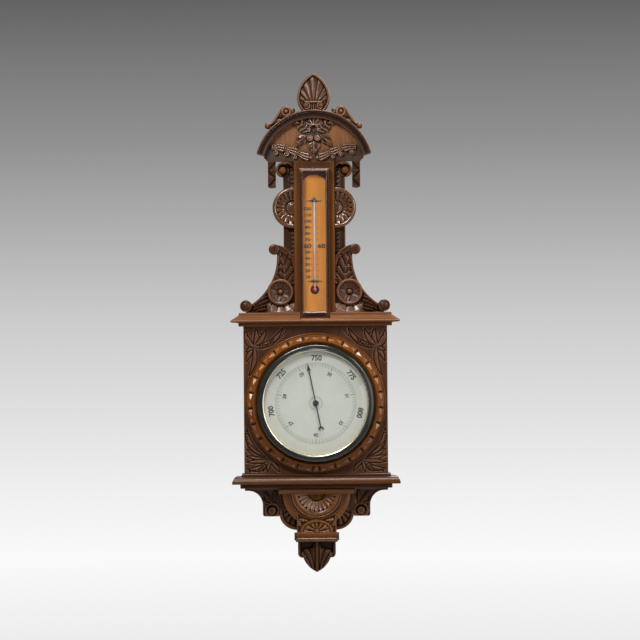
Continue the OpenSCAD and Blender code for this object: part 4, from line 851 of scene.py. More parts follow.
low = Extent("lower_cornice")
ovolo_over = low.half - panel.half
BASE_OVER, BASE_HIGH, OVOLO_HIGH, OVOLO_R = 7.6, 8.4, 13.3, 10.9
FILLET_OVER, FILLET_HIGH = 5.0, 5.4
ovolo_top = BASE_HIGH + OVOLO_HIGH
cornice("moulded_lower_cornice", low, (
    [(BASE_OVER - ARRIS, 0.0), (BASE_OVER, ARRIS), (BASE_OVER, BASE_HIGH - 0.2), (BASE_OVER + 0.4, BASE_HIGH)]
    + [(ovolo_over - ARRIS, BASE_HIGH), (ovolo_over, BASE_HIGH + ARRIS)]
    + arc(ovolo_over - OVOLO_R, BASE_HIGH + 2.0, OVOLO_R, 8, 90, 10)
    + [(FILLET_OVER + 0.6, ovolo_top), (FILLET_OVER, ovolo_top + 0.6)]
    + [(FILLET_OVER, ovolo_top + FILLET_HIGH - 1.0), (FILLET_OVER - 1.0, ovolo_top + FILLET_HIGH)]
), ledge_wood)

# Trunk: strips of thumbnail cuts beside the pilaster

pilaster = Extent("pilaster")
PILASTER_HALF = 38.5
trunk_foot, trunk_top = top.top, pilaster.top
NAIL_X, NAIL_HALF, NAIL_PITCH, NAIL_DEEP = PILASTER_HALF + 1.0, 8.4, 8.2, 1.7
PIT_X, PIT_SPREAD, PIT_DEEP = NAIL_X + 6.8, 2.6, 2.4
LINE_X, LINE_HALF = PILASTER_HALF + 10.6, 0.9
TRUNK_RAISED = 2.6


def trunk_shape(x, z):
    return slab(x, z, TRUNK_HALF, trunk_foot, trunk_top, start=PILASTER_HALF - 0.4)


def trunk_front(x, z):
    step = (z / NAIL_PITCH) % 1
    bowl = unit(1 - ((x - NAIL_X) / NAIL_HALF) ** 2 - 2.6 * (step - 0.5) ** 2 / 0.62)
    nail = NAIL_DEEP * np.sqrt(bowl) * (0.3 + 0.7 * step)
    rise = ((step - 0.5) % 1 - 0.5) * NAIL_PITCH
    hole = pit((x - PIT_X) ** 2 + rise**2, PIT_SPREAD, PIT_DEEP)
    return BOARD_FRONT + TRUNK_RAISED - both(nail, hole, groove(x - LINE_X, LINE_HALF, LINE_HALF))


relief("carved_trunk_sides", pilaster, trunk_shape, trunk_front, 0.9, trunk_wood, nodes=(),
       span=(-TRUNK_HALF, TRUNK_HALF, trunk_foot, trunk_top), back=BOARD_FRONT - 0.4)

# Pilaster: its head sweeps out over a hollow on each side and curls round a ball

VOLUTE_X, VOLUTE_R, VOLUTE_DROP, BALL_R = 59.5, 12.5, 17.6, 7.8
STRIP_X, STRIP_HALF, STRIP_IN = 33.6, 5.2, 26.0
WINDOW_RISE, WINDOW_DROP = 8, 26
CURL_SINK, BAND_SINK, BALL_SINK, BALL_RISE = 13.0, 5, 6.0, 5.2
CURL_TURNS = [0, 60, 120, 180, 265, 290, 360]
CURL_EDGES = [BALL_R, 10.4, 11.6, 13.4, 12.6, BALL_R, BALL_R]
volute_z = trunk_top - VOLUTE_DROP
arm_r = VOLUTE_DROP - 0.5
arm_x = VOLUTE_X + VOLUTE_R - arm_r
hollow_r = (VOLUTE_X - PILASTER_HALF + 3.15) / 2
head_half = VOLUTE_X + VOLUTE_R + 0.5


def pilaster_shape(x, z):
    arm = either(disc(x, z, arm_x, volute_z, arm_r), slab(x, z, arm_x, volute_z, volute_z + arm_r, start=0))
    arm = both(arm, volute_z - z, -disc(x, z, PILASTER_HALF + hollow_r, volute_z, hollow_r))
    strip = slab(x, z, PILASTER_HALF, pilaster.foot, trunk_top)
    window = slab(x, z, STRIP_IN, pilaster.foot + WINDOW_RISE, trunk_top - WINDOW_DROP)
    return either(both(strip, -window), arm, disc(x, z, VOLUTE_X, volute_z, VOLUTE_R))


def pilaster_front(x, z):
    r = disc(x, z, VOLUTE_X, volute_z, 0)
    turn = np.degrees(np.arctan2(z - volute_z, x - VOLUTE_X)) % 360
    edge_r = np.interp(turn, CURL_TURNS, CURL_EDGES)
    band = np.maximum(-0.4 - fall(r, middle=edge_r + 2.4, half=1, drop=0.09), -BAND_SINK)
    strip = unit(1 - fall(x, STRIP_X, STRIP_HALF, drop=1)) - 1.0
    head = np.where(r < edge_r, -CURL_SINK, band)
    ball = dome(x, z, VOLUTE_X, volute_z, BALL_R, BALL_RISE) - BALL_SINK
    return pilaster.front + layers(strip, (x > PILASTER_HALF, head), (r < BALL_R - 0.6, ball))


relief("carved_pilaster", pilaster, pilaster_shape, pilaster_front, 0.9, strip_wood,
       span=(-head_half, head_half, pilaster.foot, trunk_top), rounding=1.2)

# Half roundels and the round paterae on the brackets

roundel = Extent("upper_roundels")
ROUNDEL_X, ROUNDEL_R, ROUNDEL_THICK = 40.3, 38.8, 16
PETALS, PETAL_IN, PETAL_LONG, PETAL_OUT, BOSS_R = 20, 14, 16.5, 30.8, 12.8
PETAL_SINK, MOAT_SINK, BOSS_SINK, BOSS_RISE, BOSS_LINE_R = 9.0, 13.0, 11.0, 3.4, 9.4
DRILL_DEEP, DRILL_FROM, DRILL_TO, RIM_R, RIM_HALF = 5.0, 30.6, 31.4, 34.8, 4.0


def roundel_shape(x, z):
    return both(disc(x, z, ROUNDEL_X, roundel.middle_z, ROUNDEL_R), PILASTER_HALF - x)


def roundel_front(x, z):
    """Petals in a bowl, drilled between their tips, round a boss and inside a plain rim."""
    r, angle = polar(x, z, ROUNDEL_X, roundel.middle_z)
    turn, width = petal_round(r, angle, PETALS, phase=0)
    side = (0.5 - np.abs(turn)) * width
    petal = petal_bowl(r, turn, PETAL_IN, PETAL_LONG, rise=7.2, power=1.5, ridge=1.3, fade=0.25) - PETAL_SINK
    drill = np.minimum(2.4 - 1.1 * side - 0.42 * (DRILL_FROM - r), 0.9 * (DRILL_TO - r))
    hole = DRILL_DEEP * unit(drill)
    rim = -fall(r, RIM_R, RIM_HALF, drop=1.9)
    boss = BOSS_RISE * hump(r / 13.0) - groove(r - BOSS_LINE_R, half=0.9, depth=0.9) - BOSS_SINK
    height = layers(petal - hole, (r > PETAL_OUT, rim), (r < PETAL_IN + 0.8, -MOAT_SINK), (r < BOSS_R, boss))
    return roundel.back + ROUNDEL_THICK + height


relief("carved_roundels", roundel, roundel_shape, roundel_front, 0.6, roundel_wood)

patera = Extent("bracket_paterae")
PATERA_THICK, PATERA_PETALS, DISH_R, PATERA_MOAT_R, PATERA_BALL_R = 9, 8, 19.2, 7.0, 5.2
PATERA_DRILL_R, PATERA_DRILL_DEEP, PATERA_RIM_R, PATERA_RIM_HALF = 15.6, 4.0, 22.0, 2.9
DISH_SINK, DISH_RISE, PATERA_MOAT_SINK, PATERA_BALL_SINK = 6.4, 4.4, 8.0, 6.0
patera_r = (patera.top - patera.foot) / 2
patera_spot = (patera.right - patera_r, patera.middle_z)


def patera_shape(x, z):
    return disc(x, z, *patera_spot, patera_r)


def patera_front(x, z):
    """A lobed dish with drilled holes, round a ball and inside a rounded rim."""
    r, angle = polar(x, z, *patera_spot)
    turn, width = petal_round(r, angle, PATERA_PETALS)
    lobes = 0.4 * np.cos(PATERA_PETALS * angle) * ease(6, 14, r)
    dish = fall(r, 0, DISH_R, DISH_RISE) - DISH_SINK + lobes
    hole = PATERA_DRILL_DEEP * unit(1.6 - np.abs(turn) * width - 0.55 * np.abs(r - PATERA_DRILL_R))
    rim = -fall(r, PATERA_RIM_R, PATERA_RIM_HALF, drop=1.7)
    ball = dome(x, z, *patera_spot, PATERA_BALL_R, rise=6.4) - PATERA_BALL_SINK
    moat = (r < PATERA_MOAT_R, -PATERA_MOAT_SINK)
    height = layers(dish - hole, (r > DISH_R, rim), moat, (r < PATERA_BALL_R, ball))
    return patera.back + PATERA_THICK + height


relief("carved_paterae", patera, patera_shape, patera_front, 0.6, panel_wood)

# Scroll brackets: a ribbon round the crown, feathered leaves, two scrolls and a fan of scoops

bracket = Extent("bracket_right")
WAIST, HOLLOW_R = (71.3, 277.0), 106.1
CROWN, CROWN_R = (77.3, 259.0), 41.3
FOOT_SCROLL, FOOT_R, FOOT_SINK = (130.8, 184.1), 11.3, 5.2
TOP_SCROLL, TOP_R = (76.9, 291.2), 10.0
RIBBON_IN, RIBBON_FOOT, RIBBON_SIDE = (80.0, 249.5, 40.2), 236, 42
HOLLOW_EDGE, EDGE_HALF = arc(WAIST[0] + HOLLOW_R, WAIST[1], HOLLOW_R + 2.2, 180, 244, 24), 3.0
MAIN_SPINE = [(69.5, 291), (64, 277), (60, 264), (57.8, 251), (57, 228)]
MAIN_LOBES, MAIN_FOOT, MIDRIB_HALF = 4, 226, 1.2
LOBE_LOW, LOBE_RISE, LEAF_HIGH, EDGE_HIGH, RIBBON_HIGH = 2.4, 3.4, 7.2, 7.2, 9.0
FOOT_LEAVES = [
    (bow((90, 203), (118, 184.5), 0.06), 4.6, 0), (bow((88, 195), (117, 181), 0.05), 4.8, 4),
    (bow((100.5, 199), (102.8, 183)), 4.0, 0), (bow((92, 186), (119, 177), 0.03), 4.0, 4),
    (bow((92, 179), (114, 174.5), 0.02), 3.2, 0),
]
EYES = [(50.5, 281.0), (46.0, 271.5), (43.3, 260.5), (42.0, 249.0), (42.0, 238.0), (67.5, 262), (68.5, 250)]
EYE_SPREAD, EYE_DEEP = 3.6, 8.0
FAN, FAN_IN, FAN_TOP, FAN_RIGHT, FAN_BLADES = (65.5, 210.2), 25.5, 191.0, 92.0, 7.5
SCOOP_LOW, SCOOP_SLOPE, SCOOP_HIGH, TONGUE_RISE = 3.0, 0.42, 8.0, 1.8
SCOOP_SIDE_FADE, SCOOP_TOP_FADE, SCOOP_EYE = 9.0, 4.0, 2.5
bracket_ground = bracket.front - 10.0
GROUND_SINK = -1.5


def bracket_shape(x, z):
    crown = both(disc(x, z, *CROWN, CROWN_R), CROWN[1] - z)
    body = either(slab(x, z, FOOT_SCROLL[0], bracket.foot, CROWN[1], start=PILASTER_HALF), crown)
    body = both(body, PILASTER_HALF - x, -disc(x, z, WAIST[0] + HOLLOW_R, WAIST[1], HOLLOW_R))
    return either(body, disc(x, z, *FOOT_SCROLL, FOOT_R), disc(x, z, *TOP_SCROLL, TOP_R))


def bracket_front(x, z):
    share, off, _ = along(x, z, MAIN_SPINE)
    lobe = np.sin(np.pi * ((MAIN_LOBES * share + 0.075 * np.abs(off)) % 1)) ** 0.3
    rib = np.exp(-((off / MIDRIB_HALF) ** 2))
    height = LOBE_LOW + LOBE_RISE * lobe + 0.05 * np.abs(off) + (2.8 - 2.2 * lobe) * rib
    height = np.where(z < MAIN_FOOT, 0.0, height)
    for spine, half, lobes in FOOT_LEAVES:
        height = np.maximum(height, leaf(x, z, spine, half, LEAF_HIGH, lobes, veins=4, edge=0.3, cupped=0.2))
    _, off, _ = along(x, z, HOLLOW_EDGE)
    border = np.maximum(height, EDGE_HIGH - fall(off, 0, EDGE_HALF, drop=1.6))
    inner = disc(x, z, *RIBBON_IN)
    on_crown = (z > RIBBON_FOOT) & (disc(x, z, *CROWN, CROWN_R + 1) < 0)
    on_side = (z > RIBBON_FOOT - 2) & (x < RIBBON_SIDE)
    ribbon = RIBBON_HIGH - 1.6 * np.exp(-inner / 1.2)
    height = layers(
        height, (np.abs(off) < EDGE_HALF, border), ((z < FAN_TOP) & (x < FAN_RIGHT), GROUND_SINK),
        ((inner > 0) & (on_crown | on_side), ribbon),
    )
    for cx, cz in EYES:
        height = height - pit((x - cx) ** 2 + (z - cz) ** 2, EYE_SPREAD, EYE_DEEP)
    depth = bracket_ground + np.maximum(height, GROUND_SINK)
    scroll = volute(x, z, *FOOT_SCROLL, FOOT_R, start=200, turns=1.0, rise=5.0, eye=0.66) - FOOT_SINK
    curl = -0.3 - 0.05 * np.clip(disc(x, z, *TOP_SCROLL, 5), 0, 9) ** 2
    return layers(
        depth, (disc(x, z, *FOOT_SCROLL, FOOT_R) < 0.3, bracket.front + scroll),
        (disc(x, z, *TOP_SCROLL, TOP_R) < 0.3, bracket.front + curl),
    )


def scoop_shape(x, z):
    fan = slab(x, z, FAN_RIGHT, bracket.foot + 0.2, FAN_TOP, start=PILASTER_HALF + 0.3)
    return both(fan, -disc(x, z, *FAN, FAN_IN))


def scoop_front(x, z):
    """Tongues fanning out from under a patera, with a drilled eye between each two."""
    r, angle = polar(x, z, *FAN)
    reach = r - FAN_IN
    blade = np.abs(np.sin(FAN_BLADES * angle))
    rise = np.clip(SCOOP_LOW + SCOOP_SLOPE * reach, 0, SCOOP_HIGH) + TONGUE_RISE * blade**0.5
    rise = rise * np.clip((FAN_RIGHT - x) / SCOOP_SIDE_FADE, 0.1, 1)
    rise = rise * np.clip((FAN_TOP - z) / SCOOP_TOP_FADE, 0.1, 1)
    eye = pit((blade * 6.0) ** 2 + (reach - SCOOP_EYE) ** 2, spread=6.0, depth=5.0)
    return np.minimum(bracket_ground + rise - eye, bracket.front)


BRACKET_SIDES = (("bracket_right", 1), ("bracket_left", -1))
for name, way in BRACKET_SIDES:
    ends = sorted((way * PILASTER_HALF, way * (FOOT_SCROLL[0] + FOOT_R)))
    relief("carved_" + name, Extent(name), bracket_shape, bracket_front, 0.75, trunk_wood,
           span=(*ends, bracket.foot, bracket.top))
for name, way in BRACKET_SIDES:
    ends = sorted((way * PILASTER_HALF, way * FAN_RIGHT))
    relief("scoops_" + name, Extent(name), scoop_shape, scoop_front, 0.6, lit_scoop_wood,
           span=(*ends, bracket.foot, FAN_TOP), back=bracket_ground - 1.6)

# Thermometer: frame, scale print, clips, and dark sheets behind the scale that paint the shade above its arch
# and round its bulb

surround = Extent("thermometer_frame")
scale = Extent("thermometer_scale")
SIDE_BAR, FOOT_BAR = 6.6, 12.0
FRAME_LINE = [
    (0.0, 12.0), (0.0, 5.6), (0.5, 4.8), (4.8, 0.7), (5.2, 0.1), (5.5, 0.0), (SIDE_BAR, 2.2), (SIDE_BAR, 4.0),
]
frame_profile = (
    [(0.0, surround.back)]
    + divided([(inset, surround.front - sink) for inset, sink in FRAME_LINE], 0.8)
    + [(SIDE_BAR, surround.back)]
)


def frame_ring(inset, depth):
    left, right = surround.left + inset, surround.right - inset
    foot, head = surround.foot + inset * FOOT_BAR / SIDE_BAR, surround.top - inset
    corners = [(left, foot), (right, foot), (right, head), (left, head), (left, foot)]
    return [(x, depth, z) for x, z in stepped(corners, (14, 60, 14, 60))]


frame_rings = np.transpose([frame_ring(*point) for point in frame_profile], (1, 0, 2))
loft("moulded_thermometer_frame", frame_rings, frame_wood, [surround.node], closed=True, crease=30)

FIGURE_SHARE = 0.72


def text_shapes(entries, depth, thick=0.08, bold=0.05, wide=1.0):
    """Points and faces of figures: entries are (text, letter height, x, z, turn in degrees clockwise)."""
    points, faces, start = [], [], 0
    for text, size, x, z, turn in entries:
        curve = bpy.data.curves.new("figure", "FONT")
        curve.body = text
        curve.size = size / FIGURE_SHARE
        curve.extrude = thick / 2
        curve.offset = bold * size
        curve.resolution_u = 3
        curve.align_x = "CENTER"
        holder = add_object("figure", curve)
        bpy.context.view_layer.update()
        solid = holder.evaluated_get(bpy.context.evaluated_depsgraph_get())
        mesh = bpy.data.meshes.new_from_object(solid)
        spots = np.array([v.co for v in mesh.vertices])
        across, up = spots[:, 0] * wide, spots[:, 1] - size / 2
        cos, sin = math.cos(math.radians(turn)), math.sin(math.radians(turn))
        level = depth + thick / 2 + spots[:, 2]
        points.append(place(x + across * cos + up * sin, level, z - across * sin + up * cos))
        faces += [[v + start for v in face.vertices] for face in mesh.polygons]
        start += len(spots)
        bpy.data.objects.remove(holder)
        bpy.data.curves.remove(curve)
        bpy.data.meshes.remove(mesh)
    return np.concatenate(points), faces


BAR_FACES = ((0, 1, 2, 3), (7, 6, 5, 4), (0, 4, 5, 1), (1, 5, 6, 2), (2, 6, 7, 3), (3, 7, 4, 0))


def tick_shapes(ticks, depth, thick=0.08):
    """Points and faces of thin bars: ticks are (x0, z0, x1, z1, width)."""
    points, faces = [], []
    for x0, z0, x1, z1, width in ticks:
        length = math.hypot(x1 - x0, z1 - z0)
        sx, sz = (z1 - z0) / length * width / 2, (x0 - x1) / length * width / 2
        corners = [(x0 + sx, z0 + sz), (x1 + sx, z1 + sz), (x1 - sx, z1 - sz), (x0 - sx, z0 - sz)]
        faces += [[len(points) + i for i in face] for face in BAR_FACES]
        points += [(x, depth + up, z) for up in (0, thick) for x, z in corners]
    return place(*np.array(points).T), faces


DEGREE_10_Z, DEGREE_PITCH, LARGE_DEGREE = 238.7, 1.17, 60
FIGURE_X, FIGURE_HIGH, LARGE_HIGH = 13.2, 5.4, 8.2
TICK_X, LONG_TICK, SHORT_TICK = 4.2, (3.4, 0.9), (1.9, 0.3)


def degree_z(degree):
    return DEGREE_10_Z + (degree - 10) * DEGREE_PITCH


scale_figures = [
    (str(degree), LARGE_HIGH if degree == LARGE_DEGREE else FIGURE_HIGH, -FIGURE_X, degree_z(degree), 0)
    for degree in range(10, 121, 10)
]
scale_figures.append((str(LARGE_DEGREE), LARGE_HIGH, FIGURE_X, degree_z(LARGE_DEGREE), 0))
scale_ticks = []
for degree in range(4, 125, 2):
    reach, width = LONG_TICK if degree % 10 == 0 else SHORT_TICK
    for way in (-1, 1):
        level = degree_z(degree)
        scale_ticks.append((way * TICK_X, level, way * (TICK_X + reach), level, width))
figure_mesh = text_shapes(scale_figures, scale.front, bold=0.07, wide=1.25)
make_piece("scale_figures", *figure_mesh, ink, crease=30, weld=True)
make_piece("scale_ticks", *tick_shapes(scale_ticks, scale.front), ink, crease=30)

CLIP_SPOTS = (230.2, 382.2)
WING = [
    (0, 3.4), (3.4, 2.2), (6, 2.6), (9, 1.3), (13, 0.9),
    (13, -0.5), (9.5, -0.4), (7, -1.7), (3.6, -1.4), (0, -2.6),
]
PEAK = [(0, 9.0), (1.4, 5.2), (4.2, 2.4), (0, 2.0)]
CLIP_HALF, CLIP_DROP, CLIP_RISE, SADDLE_HALF = 13, 3, 9.5, 4.4


def clip_shape(x, z):
    wings = [polygon(x, z - spot, WING) for spot in CLIP_SPOTS]
    return either(*wings, polygon(x, z - CLIP_SPOTS[1], PEAK))


def clip_front(x, z):
    return scale.front + 1.0 + 0.3 * np.abs(np.sin(0.9 * x)) + 5.0 * hump(x / SADDLE_HALF)


for spot in CLIP_SPOTS:
    relief("wing_clip_%d" % spot, Extent("tube_clips"), clip_shape, clip_front, 0.3, dark_metal,
           span=(-CLIP_HALF, CLIP_HALF, spot - CLIP_DROP, spot + CLIP_RISE), back=scale.front, rounding=0.3)

opening = surround.half - SIDE_BAR
ground_foot, ground_top = scale.top - 26, surround.top - SIDE_BAR
ground_back = pilaster.front + 0.05
BULB_Z, RECESS_R = 214.2, 8.3


def ground_shape(x, z):
    return slab(x, z, opening, ground_foot, ground_top)


def ground_front(x, z):
    return pilaster.front + 0.3 + 0.05 * np.cos(0.4 * x)


def recess_shape(x, z):
    return disc(x, z, 0, BULB_Z, RECESS_R)


def recess_front(x, z):
    return pilaster.front + 0.5 + 0.3 * np.cos(np.hypot(x, z - BULB_Z))


# A dark red sheet above the scale's arch paints the shade inside the frame there.
relief("scale_ground", scale, ground_shape, ground_front, 1.0, red_shade, nodes=(), back=ground_back,
       span=(-opening, opening, ground_foot, ground_top), rounding=0.1)
# A dark disc behind the bulb paints the shade of a recess round it.
relief("bulb_recess", scale, recess_shape, recess_front, 0.6, recess_shade, nodes=(), back=ground_back,
       span=(-RECESS_R, RECESS_R, BULB_Z - RECESS_R, BULB_Z + RECESS_R), rounding=0.2)

# Hood: a rounded lip, a groove and a hollow band along the arch, as (inset, sink) from its outer front edge

hood = Extent("pediment_hood")
HOOD_R, HOOD_BAND, HOOD_ANGLE = 112.5, 15.0, 147.5
HOOD_LIP_R, COVE_INSET, COVE_SINK, COVE_DEEP = 1.5, 4.9, 2.4, 13.0
arch_z = hood.top - HOOD_R
cove_wide = HOOD_BAND - COVE_INSET - 0.5
hood_line = (
    [(0.0, 12.0)] + divided([(0.0, 11.0), (0.0, 2.0)], 1.5)
    + arc(HOOD_LIP_R, HOOD_LIP_R, HOOD_LIP_R, 180, 360, 8)
    + [(3.2, 2.8), (3.6, 4.0), (4.2, 4.0), (4.4, 2.6), (COVE_INSET, COVE_SINK)]
    + [(COVE_INSET + cove_wide * (1 - math.cos(a)), COVE_SINK + COVE_DEEP * math.sin(a))
       for a in np.radians(np.linspace(6, 90, 14))]
    + [(HOOD_BAND, 16.2)]
)
hood_profile = [(HOOD_R - HOOD_BAND, 0.0), (HOOD_R, 0.0)]
hood_profile += [(HOOD_R - inset, hood.front - sink) for inset, sink in hood_line]
turned("moulded_hood", hood_profile, 150, hood_wood, [hood.node], centre=(0, arch_z),
       sweep=(-HOOD_ANGLE / 2, HOOD_ANGLE / 2), crease=35)

# Flower with leaves under the hood, drawn from its own middle

flower = Extent("flower_carving")
FLOWER_Z, FLOWER_R, STEM_HALF, STEM_LONG = 513.1, 15.0, 4, 22
FLOWER_LEAVES = [
    (bow((8, 0), (39.0, 19.5), 0.10), 14.5, 4, 0.75, 1.4),
    (bow((10, -6), (34.0, -28.5), 0.08), 9.6, 0, 0.75, 1.25),
    (bow((0, -17.0), (0, -42.5)), 14.0, 0, 0.5, 1.25),
]
LEAF_RISE = 11.0
PETAL_SPOTS = [(7.0, -12.0, 6.4, 9.5), (9.8, 5.0, 5.6, 5.5)]
TUFT_Z, TUFT_R, TUFT_RISE, TUFT_FLUTES, TUFT_SLOPE, TUFT_CUT = 13.0, 14.5, 13.0, 4.5, 0.3, 2.2
CUP_Z, CUP_R, STAMEN_DROP, STAMEN_R, STAMEN_RISE = 6.0, 6.0, 5.4, 2.6, 11.0
FLOWER_GROUND, CUP_GROUND, RIB_CUT = 2.5, 1.0, 0.8


def flower_shape(x, z):
    z = z - FLOWER_Z
    leaves = [leaf_shape(x, z, spine, half, lobes, bias)[0] for spine, half, lobes, bias, _ in FLOWER_LEAVES]
    petals = [disc(x, z, cx, cz, r) for cx, cz, r, _ in PETAL_SPOTS]
    rounds = either(disc(x, z, 0, 2, FLOWER_R), disc(x, z, 0, TUFT_Z, TUFT_R))
    return either(rounds, slab(x, z, STEM_HALF, -STEM_LONG, 0), *leaves, *petals)


def flower_front(x, z):
    z = z - FLOWER_Z
    height = np.full(x.shape, FLOWER_GROUND)
    for spine, half, lobes, bias, lift in FLOWER_LEAVES:
        _, share, _ = leaf_shape(x, z, spine, half, lobes, bias)
        rise = leaf(x, z, spine, half, LEAF_RISE * lift, lobes, veins=lobes or 2, edge=0.25, cupped=0.1,
                    bias=bias, fluted=0.45 if lobes else 0.2)
        height = np.maximum(height, rise * (0.5 + 0.5 * share))
    for cx, cz, r, lift in PETAL_SPOTS:
        ribs = RIB_CUT * np.abs(np.sin(4 * np.arctan2(x - 0.8 * cx, z - 0.4 * cz)))
        petal = lift + dome(x, z, cx, cz, r, rise=4.6) - ribs
        height = np.where(disc(x, z, cx, cz, r) < 0, np.maximum(height, petal), height)
    far, angle = polar(x, z, 0, TUFT_Z)
    flutes = 1 - np.abs(np.cos(TUFT_FLUTES * angle))
    tuft = TUFT_RISE - TUFT_SLOPE * far - TUFT_CUT * flutes * far / TUFT_R
    height = np.where((far < TUFT_R) & (z > TUFT_Z - 4), np.maximum(height, tuft), height)
    height = np.where(np.hypot(x, z - CUP_Z) < CUP_R, CUP_GROUND, height)
    stamen = dome(x, z, 0, CUP_Z - STAMEN_DROP, STAMEN_R, STAMEN_RISE)
    return flower.back + np.minimum(np.maximum(height, stamen), flower.front - flower.back)


relief("carved_flower", flower, flower_shape, flower_front, 0.55, carved_wood, rounding=1.0,
       span=(flower.left - 7, flower.right + 7, flower.foot - 5, flower.top + 5))

# Garland: a swag of tied bundles, with drapery hanging at both ends

garland = Extent("garland")
GARLAND_PATH = [
    (0, 463.0), (9, 464.0), (20, 468.0), (30, 473.0), (41, 477.5), (53, 481.5), (66, 484.5), (80, 484.5),
]
BUNDLE_LONG, BUNDLE_HALF, BUNDLE_FLARE, TIE_SHARE = 25.0, 5.4, 2.6, 0.14
CURLS, CURL_BELOW = [(51.0, 472.0, 4.8), (72.0, 475.0, 5.0), (36.0, 466.0, 4.0)], 4.18
TIE_RISE, CURL_GROUND = 4.5, 4.0
BUNDLE_LOW, BUNDLE_RISE, STRAND_RISE, FLARE_RISE = 1.6, 3.6, 3.2, 2.8
BEAD_SPOTS, BEAD_END, BEAD_GROUND = [(0, 463.6, 3.6), (6.4, 464.0, 3.4)], 9.6, 4.0


def bundle_half(beat):
    """Half-width of a bundle from its tie to its flared end."""
    return BUNDLE_HALF + BUNDLE_FLARE * ease(0.1, 0.9, beat) * (1 - ease(0.92, 1.0, beat))


def garland_run(x, z):
    """Share along a bundle from its outer end, and the distance from the garland's middle line."""
    share, off, length = along(x, z, GARLAND_PATH)
    return ((1 - share) * length / BUNDLE_LONG) % 1, off


def garland_shape(x, z):
    beat, off = garland_run(x, z)
    curls = [disc(x, z, *curl) for curl in CURLS]
    return both(either(np.abs(off) - bundle_half(beat), *curls), trunk_top + 0.2 - z, x - garland.half)


def garland_front(x, z):
    beat, off = garland_run(x, z)
    across = np.clip(off / bundle_half(beat), -1, 1)
    roll = np.sqrt(1 - 0.8 * across**2)
    strand = np.abs(np.cos(1.5 * np.pi * across)) ** 0.7
    tie = TIE_RISE + TIE_RISE * roll * hump(2 * beat / TIE_SHARE - 1)
    bundle = BUNDLE_LOW + BUNDLE_RISE * roll + STRAND_RISE * strand + FLARE_RISE * beat
    body = np.where(beat < TIE_SHARE, tie, bundle)
    for curl in CURLS:
        scroll = CURL_GROUND + volute(x, z, *curl, start=120, turns=0.8, rise=5.0, eye=0.36)
        body = np.where((disc(x, z, *curl) < 0) & (off < -CURL_BELOW), scroll, body)
    for bead in BEAD_SPOTS:
        ball = np.maximum(np.minimum(body, BEAD_GROUND), BEAD_GROUND + dome(x, z, *bead, rise=5.5))
        body = np.where(x < BEAD_END, ball, body)
    return garland.back + body


relief("carved_garland", garland, garland_shape, garland_front, 0.6, carved_wood,
       span=(garland.left, garland.right, trunk_top, garland.top + 3))

drapery = Extent("drapery_ends")
DRAPE_WIDE, FOLD_LONG = 15.0, 15.5
FOLD_HIGH, FOLD_LOW, FOLD_DROP, FOLD_RISE = 16.5, 8.0, 5.5, 6.0
drape_in = drapery.right - DRAPE_WIDE


def drapery_shape(x, z):
    return polygon(x, z, [
        (drape_in, drapery.top), (drapery.right, drapery.top), (drapery.right, drapery.foot + 2.2),
        (drape_in + 9, drapery.foot + 0.2), (drape_in, drapery.foot + 1.6),
    ])


def drapery_front(x, z):
    """Zigzag folds: each stretch is crossed by a diagonal edge, one way and then the other."""
    across = unit((x - drape_in) / DRAPE_WIDE)
    stretch = (drapery.top - z) / FOLD_LONG
    down = stretch % 1
    edge = np.where((stretch // 1) % 2 < 1, across, 1 - across)
    over = FOLD_HIGH - FOLD_DROP * down / (edge + 0.1)
    under = FOLD_LOW + FOLD_RISE * (down - edge) / (1.1 - edge)
    return drapery.back + np.clip(np.where(down < edge, over, under), 6.0, 17.0)


# The drapery takes the darker trunk walnut as painted shade under the hood.
for side, left in (("left", drapery.left), ("right", drape_in)):
    relief("carved_drapery_" + side, drapery, drapery_shape, drapery_front, 0.6, trunk_wood,
           span=(left, left + DRAPE_WIDE, drapery.foot, drapery.top))

# Crest: a fluted shell, pointed above its belly, between two scrolls

finial = Extent("crest_finial")
BELLY_Z, FLUTE_Z, FLUTE_DEGREES, FLUTE_RISE, SHELL_RISE = 576.0, 558, 17.5, 2.6, 4.6
SHELL_RIM, SHELL_RIM_MIDDLE, SHELL_SINK, STALK_SINK, SCROLL_SINK = 4.4, 2.2, 8.0, 6.0, 5.6
CAPITAL_Z, CAPITAL_HALF, CAPITAL_HIGH, CAPITAL_SCROLL, STALK_HALF = 569.5, 16.4, 2.4, (12.4, 563.0, 6.6), 6.5
tip_run = finial.top - BELLY_Z
tip_r = (finial.half**2 + tip_run**2) / (2 * finial.half)


def shell_gap(x, z):
    tip = disc(x, z, finial.half - tip_r, BELLY_Z, tip_r)
    return np.where(z > BELLY_Z, tip, disc(x, z, 0, BELLY_Z, finial.half))


def above_hood(x, z):
    return -disc(x, z, 0, arch_z, HOOD_R)


def finial_shape(x, z):
    return both(shell_gap(x, z), above_hood(x, z))


